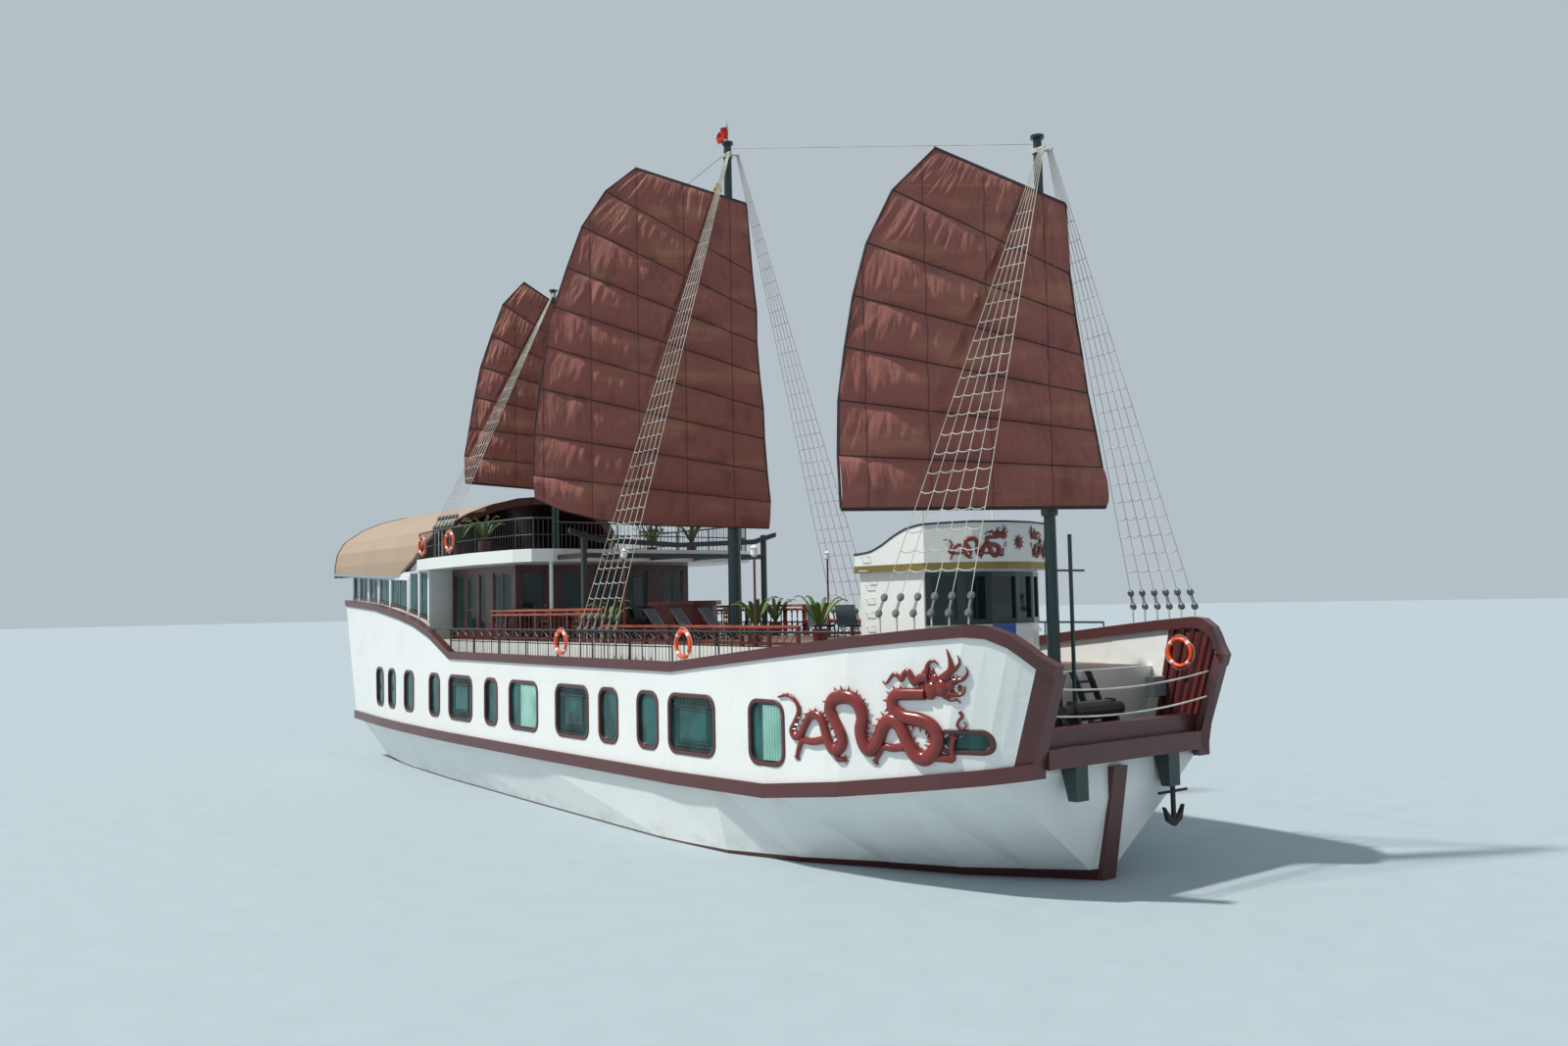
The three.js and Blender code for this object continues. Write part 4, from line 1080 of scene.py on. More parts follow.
RIGS = (
    Rig("fore", 17.45, 0.2204, (
        (-1.25, 8.03, 4.79, 8.04), (-1.19, 8.9, 4.83, 9.2), (-1.06, 9.73, 4.79, 10.42),
        (-0.9, 10.59, 4.62, 11.6), (-0.8, 11.45, 4.41, 12.75), (-0.68, 12.35, 4.08, 13.94),
        (-0.58, 13.31, 3.47, 15.15), (-0.54, 14.9, 2.48, 16.12)),
        (0.235, 0.135, 16.2),
        tuple((x, cap_middle(x, 5.4), 5.8) for x in (16.41, 16.83, 17.26, 17.67, 18.08, 18.52))),
    Rig("main", 5.2, 0.2704, (
        (-1.08, 9.04, 5.9, 9.88), (-1.0, 9.96, 5.88, 11.11), (-0.94, 10.95, 5.71, 12.46),
        (-0.92, 11.87, 5.5, 13.72), (-0.82, 12.93, 5.26, 14.91), (-0.76, 13.89, 4.88, 16.09),
        (-0.77, 14.83, 4.43, 17.34), (-0.66, 16.01, 3.72, 18.44), (-0.52, 18.13, 2.83, 19.15)),
        (0.287, 0.165, 19.7), tuple((x, 4.7, 5.43) for x in (4.2, 4.6, 5.0, 5.4, 5.8, 6.2)),
        ((-1.02, 8.25), (2.46, 8.38), (3.97, 8.55), (5.09, 8.85), (5.85, 9.2))),
    Rig("mizzen", -6.3, 0.2154, (
        (-0.85, 10.3, 3.23, 10.68), (-0.82, 11.15, 3.25, 11.64), (-0.75, 12.2, 3.08, 12.68),
        (-0.66, 13.05, 2.89, 13.84), (-0.58, 14.0, 2.66, 14.98), (-0.5, 14.85, 2.27, 16.15),
        (-0.45, 15.8, 1.84, 17.33), (-0.38, 17.15, 1.08, 18.16)),
        (0.348, 0.2, 17.7), tuple((x, 4.25, 9.0) for x in (-7.3, -6.98, -6.66, -6.34, -6.02, -5.7))),
)
BRACE = math.radians(60)
SWING = math.radians(4)  # how far a sail swings on from where it stands


@dataclass
class Sails:
    """Cuts and hangs the sails: one bellied panel between each pair of battens."""

    across: int = 150
    per_panel: int = 16
    belly: float = 0.24
    fold: float = 0.085
    cloths: float = 1.4  # distance between two upright seams
    off: float = 0.012  # least distance of the cloth from its frame
    slack: float = 1.06  # the flat cloth's length to the straight line between its edges

    def place(self, rig: Rig, u: float, z: float, out: float) -> Point:
        """A point of the sail's plane in the ship's frame.

        Args:
            rig: The mast's numbers.
            u: How far aft of the mast, along the sail.
            z: The height.
            out: How far off the frame.

        Returns:
            The point.
        """
        local = Vector((-u, -(rig.back + out), 0))
        local.rotate(Euler((0, 0, BRACE)))
        return rig.x + local.x, local.y, z

    def room(self, rig: Rig, u: float, z: float) -> float:
        """How far the cloth can belly and still clear the starboard shrouds at the swing's limit.

        Args:
            rig: The mast's numbers.
            u: How far aft of the mast, along the sail.
            z: The height.

        Returns:
            The room, or one metre where no shroud is near.
        """
        turn = Matrix.Rotation(BRACE + SWING, 2)
        base, out = Vector((rig.x, 0)) + turn @ Vector((-u, -rig.back)), turn @ Vector((0, -1))
        top = Vector((rig.x + rig.eye[0], -rig.eye[1]))
        share = (rig.eye[2] - z) / (rig.eye[2] - rig.feet[0][2])
        first, last = (top.lerp(Vector((foot[0], -foot[1])), share) for foot in (rig.feet[0], rig.feet[-1]))
        run = last - first
        cross = out.x * run.y - out.y * run.x
        if share <= 0 or abs(cross) < 1e-6:
            return 1.0
        gap = first - base
        reach = (gap.x * run.y - gap.y * run.x) / cross
        along = (gap.x * out.y - gap.y * out.x) / cross
        beside = max(0.0, -along, along - 1.0) * run.length - 0.25
        return 1.0 if reach < 0 else reach - 0.04 + max(0.0, beside)

    def edges(self, rig: Rig) -> list[Row]:
        """The sail's rows from its foot up, with the loose foot first where it has one.

        Args:
            rig: The mast's numbers.

        Returns:
            Rows of (luff u, luff z, leech u, leech z).
        """
        if not rig.loose_foot:
            return list(rig.rows)
        (u0, z0), (u1, z1) = rig.loose_foot[0], rig.loose_foot[-1]
        return [(u0, z0, u1, z1), *rig.rows]

    def sag(self, rig: Rig, u: float, share: float, panel: int) -> float:
        """How far the loose foot hangs below the straight line between its corners.

        Args:
            rig: The mast's numbers.
            u: How far aft of the mast, along the sail.
            share: How far up the panel, from 0 to 1.
            panel: The panel's number from the foot.

        Returns:
            The drop, as a negative height.
        """
        if not rig.loose_foot or panel:
            return 0.0
        us, zs = zip(*rig.loose_foot)
        straight = np.interp(u, (us[0], us[-1]), (zs[0], zs[-1]))
        return float((np.interp(u, us, zs) - straight) * (1 - share))

    def creases(self, s: float, t: float, seed: float, panel: int) -> float:
        """Height of the folds that pull across a panel from its battens.

        Args:
            s: How far across the panel, from 0 to 1.
            t: How far up it, from 0 to 1.
            seed: A number that sets this sail's folds apart.
            panel: The panel's number from the foot.

        Returns:
            The height of the folds there.
        """
        fan = 0.5 + 0.5 * noise.noise((s * 2.2, seed, panel * 1.7))
        lean = (s - 0.5) * 5 * (1 if panel % 2 else -0.4)
        folds = noise.noise((s * 30 + t * lean, t * 1.6 + seed, panel * 3.1)) * fan
        fine = noise.noise((s * 75 + t * lean * 2, t * 3 + seed, panel * 5.3)) * 0.4
        return (folds + fine) * self.fold * math.sin(math.pi * t) ** 0.5

    def cloth(self, rig: Rig, seed: float) -> Piece:
        """The sail's cloth, with metres across and up it as its UV map.

        Args:
            rig: The mast's numbers.
            seed: A number that sets this sail's folds apart.

        Returns:
            The cloth.
        """
        edges = self.edges(rig)
        rows, flat = [], []
        for panel, (low, high) in enumerate(zip(edges, edges[1:])):
            for k in range(self.per_panel + (panel == len(edges) - 2)):
                t = k / self.per_panel
                luff = [low[0] + (high[0] - low[0]) * t, low[1] + (high[1] - low[1]) * t]
                leech = [low[2] + (high[2] - low[2]) * t, low[3] + (high[3] - low[3]) * t]
                row, marks = [], []
                for c in range(self.across + 1):
                    s = c / self.across
                    u = luff[0] + (leech[0] - luff[0]) * s
                    z = luff[1] + (leech[1] - luff[1]) * s + self.sag(rig, u, t, panel)
                    ease = min(1.0, 6 * s, 6 * (1 - s)) if panel else 1.0
                    mast = 1 - 0.55 * math.exp(-((u / 0.35) ** 2))
                    seam = (u + self.cloths / 2) % self.cloths - self.cloths / 2
                    pinch = 1 - 0.32 * math.exp(-((seam / 0.13) ** 2))
                    full = self.belly * math.sin(math.pi * t) ** 0.6 * ease * mast * pinch
                    tall = min(1.0, 0.35 + 0.65 * (len(edges) - 1 - panel) / 3)
                    droop = -0.05 * math.sin(math.pi * t) * full / self.belly
                    room = max(self.off, self.room(rig, u, z))
                    share = min(1.0, (room - self.off) / 0.3)
                    out = self.off + max(0.0, full * tall + self.creases(s, t, seed, panel)) * share
                    row.append(self.place(rig, u, z + droop, min(out, room)))
                    marks.append((u, z))
                rows.append(row)
                flat.append(marks)
        piece = skin(f"{rig.name}_sailcloth", rows)
        spots = np.array(flat)
        layer = piece.data.uv_layers.active or piece.data.uv_layers.new(name="UVMap")
        old = np.empty(len(layer.data) * 2)
        layer.data.foreach_get("uv", old)
        old = old.reshape(-1, 2)
        i = np.rint(old[:, 0] * (spots.shape[1] - 1)).astype(int)
        j = np.rint(old[:, 1] * (spots.shape[0] - 1)).astype(int)
        layer.data.foreach_set("uv", spots[j, i].reshape(-1))
        return smooth(modify(piece, "SOLIDIFY", thickness=0.006, offset=0), 80)

    def edge_ropes(self, rig: Rig) -> list[Piece]:
        """Dark ropes sewn round the cloth.

        Args:
            rig: The mast's numbers.

        Returns:
            The ropes.
        """
        edges = self.edges(rig)
        luff = [self.place(rig, a, z, 0.02) for a, z, _, _ in edges]
        leech = [self.place(rig, b, z, 0.02) for _, _, b, z in edges]
        head = [luff[-1], leech[-1]]
        foot = [self.place(rig, u, z, 0.02) for u, z in rig.loose_foot] or [luff[0], leech[0]]
        return [rope("edge", line, 0.022, 6) for line in (luff, leech, head, foot)]

    def build(self, shop: Shop) -> None:
        """Builds every sail, with its own folds."""
        for k, rig in enumerate(RIGS):
            self.sail(shop, rig, 3.7 * k + 1.3)

    def sail(self, shop: Shop, rig: Rig, seed: float) -> None:
        """Builds one sail with its edge ropes and the batten pockets.

        Args:
            shop: The shop that finishes the pieces.
            rig: The mast's numbers.
            seed: A number that sets this sail's folds apart.
        """
        body = f"{rig.name}_rig"
        cloth = self.cloth(rig, seed)
        shop.fit(cloth, CANVAS, body, [f"{rig.name}_sail"])
        pockets = []
        for low in rig.rows[1:-1] if not rig.loose_foot else rig.rows[:-1]:
            a, b = self.place(rig, low[0], low[1], 0.016), self.place(rig, low[2], low[3], 0.016)
            pockets.append(rope("pocket", [a, b], 0.02, 6))
        edges = joined(f"{rig.name}_sail_edges", self.edge_ropes(rig) + pockets)
        shop.fit(edges, SPAR, body)
        rows = self.edges(rig)
        area = sum((lo[2] - lo[0] + hi[2] - hi[0]) / 2 * ((hi[1] + hi[3]) - (lo[1] + lo[3])) / 2
                   for lo, hi in zip(rows, rows[1:]))


@dataclass
class Rigger:
    """Ratlines, deadeyes and lanyards."""

    step: float = 0.42
    disc: tuple[Place2, ...] = (
        (0, -0.05), (0.06, -0.05), (0.088, -0.02), (0.088, 0.02), (0.06, 0.05), (0, 0.05))

    @staticmethod
    def wire_ends(rig: Rig, side: float) -> list[tuple[Vector, Vector]]:
        """The upper and lower end of each shroud of one side.

        Args:
            rig: The mast's numbers.
            side: -1 for starboard, 1 for port.

        Returns:
            Pairs of ends, from the foremost foot aft.
        """
        x, y, z = rig.eye
        return [(Vector((rig.x + x + 0.026 * (k - 2.5), side * y, z)), Vector((f[0], side * f[1], f[2])))
                for k, f in enumerate(rig.feet)]

    def ratlines(self, rig: Rig, side: float) -> list[Piece]:
        """Ropes across the shrouds that sag between the wires.

        Args:
            rig: The mast's numbers.
            side: -1 for starboard, 1 for port.

        Returns:
            The ropes.
        """
        wires = self.wire_ends(rig, side)
        height = wires[0][0].z - wires[0][1].z
        count = int(height * 0.9 / self.step)
        lines = []
        for k in range(2, count):
            share = 1 - k * self.step / height
            if share < 0.12:
                break
            crossings = [top.lerp(foot, share) for top, foot in wires]
            points = []
            for a, b in zip(crossings, crossings[1:]):
                sag = 0.55 * (b - a).length
                points += [tuple(a.lerp(b, m) - Vector((0, 0, sag * m * (1 - m)))) for m in (0.0, 0.33, 0.67)]
            points.append(tuple(crossings[-1]))
            lines.append(rope("ratline", points, 0.011, 4))
        return lines

    def deadeyes(self, rig: Rig, side: float) -> list[Piece]:
        """Two round blocks on each shroud with the lanyard between them.

        Args:
            rig: The mast's numbers.
            side: -1 for starboard, 1 for port.

        Returns:
            The blocks and lanyards.
        """
        parts = []
        for top, foot in self.wire_ends(rig, side):
            run = (top - foot).normalized()
            facing = Vector((0, side, 0.25)).normalized()
            turn = Vector((0, 0, 1)).rotation_difference(facing).to_matrix().to_4x4()
            for at in (-0.06, 0.3):
                parts.append(turned("deadeye", self.disc, Matrix.Translation(foot + run * at) @ turn, 12))
            for off in (-0.03, 0.03):
                shift = Vector((off, 0, 0))
                parts.append(bar("lanyard", foot - run * 0.04 + shift, foot + run * 0.28 + shift, 0.012, 4))
        return parts

    def build(self, shop: Shop) -> None:
        """Builds the rigging of all masts.

        Args:
            shop: The shop that finishes the pieces.
        """
        for rig in RIGS:
            for name, side in SIDES.items():
                shop.join(f"{rig.name}_ratlines_{name}", self.ratlines(rig, side), "wire_rope", ROPE)
                shop.join(f"{rig.name}_deadeyes_{name}", self.deadeyes(rig, side), "black_steel", DEADEYE)


# Carvings


@dataclass
class Dragon:
    """A carved dragon: a winding body that tapers to its tail, a crest, four clawed legs and a horned head.

    The table of points is drawn as (x, z) on the starboard bow, and the port one mirrors it.
    """

    lift: float = 0.05  # how far the limbs' middle lines stand off the surface
    claw: float = 0.13
    body: tuple[Place2, ...] = (
        (13.46, 3.9), (13.71, 3.95), (13.9, 3.91), (14.06, 3.77), (14.1, 3.59), (13.97, 3.35),
        (13.87, 3.18), (13.96, 3.04), (14.15, 3.11), (14.3, 3.33), (14.44, 3.51), (14.63, 3.56),
        (14.81, 3.46), (14.89, 3.24), (15.03, 2.92), (15.18, 2.82), (15.38, 2.95), (15.36, 3.2),
        (15.17, 3.51), (15.06, 3.7), (15.16, 3.9), (15.41, 3.98), (15.66, 3.97), (15.86, 3.83),
        (15.94, 3.55), (15.88, 3.29), (15.94, 3.01), (16.08, 2.89), (16.28, 3.06), (16.41, 3.32),
        (16.53, 3.48), (16.68, 3.53), (16.84, 3.46), (16.94, 3.28), (17.04, 3.04), (17.2, 2.83),
        (17.43, 2.8), (17.65, 3.01), (17.71, 3.26), (17.59, 3.46), (17.32, 3.57), (16.98, 3.62),
        (16.74, 3.77), (16.71, 3.95), (16.83, 4.07), (17.09, 4.09), (17.5, 4.1))
    legs: tuple[tuple[Place2, ...], ...] = (
        ((14.88, 3.04), (14.51, 2.97), (14.19, 2.97), (14.07, 2.78), (14.01, 2.63)),
        ((15.08, 2.93), (15.18, 2.77), (15.26, 2.65), (15.4, 2.65)),
        ((16.93, 3.0), (16.64, 2.96), (16.43, 2.97), (16.3, 2.81), (16.22, 2.68)),
        ((17.57, 2.83), (17.83, 2.82), (17.98, 2.81), (17.98, 3.03), (18.04, 3.21)))
    bumps: tuple[Row, ...] = (
        (17.62, 4.18, 0.2, 0.12), (17.85, 4.24, 0.19, 0.13), (18.05, 4.3, 0.15, 0.11),
        (18.2, 4.4, 0.1, 0.09), (17.95, 4.12, 0.12, 0.08), (17.72, 4.4, 0.13, 0.11), (17.9, 4.43, 0.09, 0.13),
        (18.02, 4.46, 0.06, 0.14), (17.55, 4.33, 0.11, 0.09), (17.5, 4.5, 0.1, 0.07),
        (17.66, 4.56, 0.09, 0.08), (17.42, 4.24, 0.1, 0.07), (18.26, 4.24, 0.07, 0.06),
        (18.1, 4.14, 0.08, 0.06))
    curls: tuple[tuple[tuple[Place2, ...], float, float], ...] = (
        (((17.6, 4.45), (17.4, 4.42), (17.27, 4.33), (17.2, 4.45), (17.14, 4.55), (17.03, 4.5), (16.97, 4.38),
          (16.88, 4.46), (16.78, 4.49), (16.68, 4.4), (16.58, 4.29), (16.5, 4.33)), 0.1, 0.02),
        (((17.98, 4.45), (18.12, 4.6), (18.12, 4.8), (18.06, 5.02)), 0.11, 0.012),
        (((18.0, 4.5), (18.22, 4.62), (18.33, 4.75), (18.3, 4.9)), 0.07, 0.01),
        (((18.15, 4.38), (18.36, 4.42), (18.46, 4.55), (18.44, 4.68)), 0.06, 0.01),
        (((18.0, 4.14), (18.2, 4.1), (18.34, 4.14), (18.38, 4.28)), 0.06, 0.015),
        (((17.9, 4.08), (18.06, 4.0), (18.2, 4.0), (18.26, 3.93)), 0.045, 0.012),
        (((17.55, 4.55), (17.62, 4.72), (17.74, 4.78), (17.86, 4.7)), 0.06, 0.015),
        (((18.22, 3.77), (18.26, 3.68), (18.18, 3.58), (18.14, 3.48), (18.22, 3.42), (18.32, 3.48),
          (18.28, 3.56)), 0.045, 0.012))

    @staticmethod
    def curve(points: Sequence[Place2], per: int = 4) -> list[Place2]:
        """A smooth line through drawn points.

        Args:
            points: The drawn points.
            per: How many steps lie between two of them.

        Returns:
            The line.
        """
        path = [Vector((a, b)) for a, b in points]
        path = [path[0] * 2 - path[1], *path, path[-1] * 2 - path[-2]]
        out = []
        for k in range(1, len(path) - 2):
            p0, p1, p2, p3 = path[k - 1:k + 3]
            for m in range(per):
                t = m / per
                v = 0.5 * ((2 * p1) + (p2 - p0) * t + (2 * p0 - 5 * p1 + 4 * p2 - p3) * t * t
                           + (3 * p1 - p0 - 3 * p2 + p3) * t ** 3)
                out.append((v.x, v.y))
        out.append(tuple(points[-1]))
        return out

    def parts(self, lay: Laying, normal: Vector, size: float = 1.0) -> list[Piece]:
        """All carved parts, laid on a surface.

        Args:
            lay: Gives the place of (x, z) at a height over the surface.
            normal: The surface's outward direction.
            size: The carving's scale.

        Returns:
            The parts.
        """
        made = []

        def limb(points: Sequence[Place2], radii: Callable[[float], float], per: int = 4,
                 sides: int = 10) -> list[Place2]:
            """Lays one tapering limb.

            Args:
                points: Its middle line's points.
                radii: Gives its radius along its length.
                per: Steps between two points.
                sides: How many sides it has.

            Returns:
                Its smooth middle line.
            """
            line = self.curve(points, per)
            count = len(line) - 1
            widths = [radii(k / count) * size for k in range(len(line))]
            middle = [lay(a, z, self.lift * size) for a, z in line]
            made.append(rope("limb", middle, widths, sides, 0.75, normal))
            return line

        def girth(s: float) -> float:
            """The body's radius from tail to neck."""
            return 0.025 + 0.135 * min(1.0, s * 2.2) ** 0.8 * (1 - 0.25 * max(0.0, s - 0.85) / 0.15)

        spine = limb(self.body, girth, 5, 12)
        for k in range(4, len(spine) - 6, 3):
            s = k / (len(spine) - 1)
            (a, z), (b, w) = spine[k], spine[k + 1]
            run = Vector((b - a, w - z)).normalized()
            out = Vector((-run.y, run.x))
            r = girth(s)
            tip = Vector((a, z)) + out * (r * 1.55) - run * 0.03
            base = Vector((a, z)) + out * (r * 0.8)
            made.append(bar("fin", lay(base.x, base.y, 0.06 * size), lay(tip.x, tip.y, 0.07 * size),
                            0.045 * size * min(1.0, s * 4 + 0.3), 4, 0.004))
        for leg in self.legs:
            limb(leg, lambda s: 0.085 * (1 - 0.5 * s) + 0.01)
            (x0, z0), (x1, z1) = leg[-2], leg[-1]
            run = Vector((x1 - x0, z1 - z0)).normalized()
            for spread in (-55, -15, 25, 60):
                toe = Matrix.Rotation(math.radians(spread), 2) @ run * self.claw
                end = lay(x1 + toe.x, z1 + toe.y, 0.03 * size)
                made.append(bar("claw", lay(x1, z1, self.lift * size), end, 0.028 * size, 6, 0.004))
        made += self.head(lay, normal, size)
        return made

    def head(self, lay: Laying, normal: Vector, size: float) -> list[Piece]:
        """The head with its snout, jaw, brow, horns, mane and beard.

        Args:
            lay: Gives the place of (x, z) at a height over the surface.
            normal: The surface's outward direction.
            size: The carving's scale.

        Returns:
            The parts.
        """
        made = []
        for x, z, r, lift in self.bumps:
            place = Matrix.Translation(lay(x, z, lift * 0.35 * size))
            arc = [math.pi * k / 6 for k in range(7)]
            profile = [(r * size * math.sin(a), r * size * math.cos(a)) for a in arc]
            place = place @ Matrix.Scale(0.45, 4, normal.normalized())
            made.append(turned("knob", profile, place, 10))
        for points, thick, end in self.curls:
            line = self.curve(points, 4)
            widths = [(thick + (end - thick) * k / (len(line) - 1)) * size for k in range(len(line))]
            middle = [lay(a, z, self.lift * size) for a, z in line]
            made.append(rope("curl", middle, widths, 8, 0.8, normal))
        return made

    def build(self, shop: Shop) -> None:
        """Carves the dragons of the bow.

        Args:
            shop: The shop that finishes the pieces.
        """
        for name, side in SIDES.items():
            def lay(x: float, z: float, lift: float, side: float = side) -> Point:
                """A place on the bow's side."""
                return LINES.on_side(x, z, side, lift - 0.02)

            parts = self.parts(lay, Vector((0, side, 0)))
            shop.join(f"dragon_{name}", parts, "red_timber", RELIEF)


# Houses, rails and gear


CAP_TOPS = (
    (-18.543, 6.5), (-13.471, 6.27), (-10.162, 5.93), (-8.5, 5.68), (-7.85, 5.531), (-6.8, 5.29),
    (-4.85, 4.59), (9.2, 4.59), (13.146, 5.0), (15.665, 5.26), (17.31, 5.41), (18.51, 5.5), (18.944, 5.465),
    (19.331, 5.29), (19.54, 5.1), (19.737, 4.89), (20.0, 4.68))
RAISED_DECK = 4.95
RAISED_PLANKS = 4.956  # top of the planks on the raised deck
UPPER_DECK = 7.85
BALUSTRADE = 3.74  # half breadth of the balustrades' middle
BAY = 0.66  # distance between two posts of the black rail
RIGHT_ANGLE = math.pi / 2


def table(rows: Sequence[Place2], at: float) -> float:
    """A value that runs in straight lines through a table of pairs."""
    return float(np.interp(at, [row[0] for row in rows], [row[1] for row in rows]))


def along_path(path: Sequence[Place2], step: float) -> list[Place2]:
    """Points about every step along a broken line, its corners among them.

    Args:
        path: The line's corners.
        step: About how far apart the points are.

    Returns:
        The points.
    """
    out: list[Place2] = []
    for (x0, y0), (x1, y1) in zip(path, path[1:]):
        count = max(1, round(math.hypot(x1 - x0, y1 - y0) / step))
        out += [(x0 + (x1 - x0) * k / count, y0 + (y1 - y0) * k / count) for k in range(count)]
    return [*out, tuple(path[-1])]


def strip(name: str, path: Sequence[Place2], low: float | Sequence[float], high: float | Sequence[float],
          proud: float = 0.0, thick: float = 0.02, closed: bool = False) -> Piece:
    """A board that stands on edge along a line seen from above.

    Args:
        name: The piece's name.
        path: The line's (x, y) points; its outer side is on the left of the way along it.
        low: The height of its foot, or one for each point.
        high: The height of its top, or one for each point.
        proud: How far its inner face stands out from the line.
        thick: Its thickness.
        closed: Whether the line closes on itself.

    Returns:
        The new piece.
    """
    line = [Vector(p) for p in path]
    count = len(line)
    lows, highs = (list(v) if isinstance(v, Sequence) else [v] * count for v in (low, high))
    rows: list[list[Point]] = [[], [], [], []]
    for k, here in enumerate(line):
        before = line[k - 1] if closed or k else here
        after = line[(k + 1) % count] if closed or k + 1 < count else here
        runs = [(b - a).normalized() for a, b in ((before, here), (here, after)) if (b - a).length > 1e-6]
        out = sum((Vector((-run.y, run.x)) for run in runs), Vector((0, 0))) / len(runs)
        out = out / out.length_squared
        corners = ((proud, lows[k]), (proud + thick, lows[k]), (proud + thick, highs[k]), (proud, highs[k]))
        for row, (off, z) in zip(rows, corners):
            row.append((here.x + out.x * off, here.y + out.y * off, z))
    piece = skin(name, rows, around=closed, ends=True)
    return piece if closed else capped(piece)


def upended(where: Point, axis: str) -> Matrix:
    """A place whose own Z axis lies down: along the ship for "Y", across it for "X"."""
    return Matrix.Translation(where) @ Matrix.Rotation(RIGHT_ANGLE, 4, axis)


def thickened(name: str, rows: Sequence[Sequence[Point]], thick: float) -> Piece:
    """A skin with a thickness, laid half to each side of its rows."""
    return modify(skin(name, rows), "SOLIDIFY", thickness=thick, offset=0)


def both(piece: Piece) -> list[Piece]:
    """A port piece and its mirrored starboard twin."""
    return copies(piece, (Matrix(), MIRROR))


def casement(path: tuple[Place2, Place2], low: Place2, high: Place2, lights: int = 1, bar: float = 0.06,
             back: float = -0.07) -> tuple[list[Piece], Piece]:
    """A framed window in a wall's opening.

    Args:
        path: The opening's two ends seen from above, with the outer side on the left.
        low: The sill's height at both ends.
        high: The head's height at both ends.
        lights: How many panes stand side by side.
        bar: The width of the frame's bars.
        back: How far the frame's back stands out from the wall's face.

    Returns:
        The frame's bars and the glass.
    """
    (x0, y0), (x1, y1) = path
    length = math.hypot(x1 - x0, y1 - y0)

    def part(t0: float, t1: float, sink: float, rise: float) -> Piece:
        """One bar: its share of the width, and where its foot and top are.

        Args:
            t0: Where it starts along the width, from 0 to 1.
            t1: Where it ends.
            sink: Below zero, its foot lies that far under the head.
            rise: Below zero, its top lies that far over the sill.

        Returns:
            The bar.
        """
        ends = [(x0 + (x1 - x0) * t, y0 + (y1 - y0) * t) for t in (t0, t1)]
        lows = [low[0] + (low[1] - low[0]) * t for t in (t0, t1)]
        highs = [high[0] + (high[1] - high[0]) * t for t in (t0, t1)]
        feet = [a if sink >= 0 else b + sink for a, b in zip(lows, highs)]
        tops = [b if rise >= 0 else a - rise for a, b in zip(lows, highs)]
        return strip("window_bar", ends, feet, tops, back, 0.05)

    edge = bar / length
    bars = [part(0, 1, 0, -bar), part(0, 1, -bar, 0), part(0, edge, 0, 0), part(1 - edge, 1, 0, 0)]
    bars += [part(k / lights - edge / 2, k / lights + edge / 2, 0, 0) for k in range(1, lights)]
    glass = strip("window_glass", path, list(low), list(high), back + 0.02, 0.01)
    return bars, glass


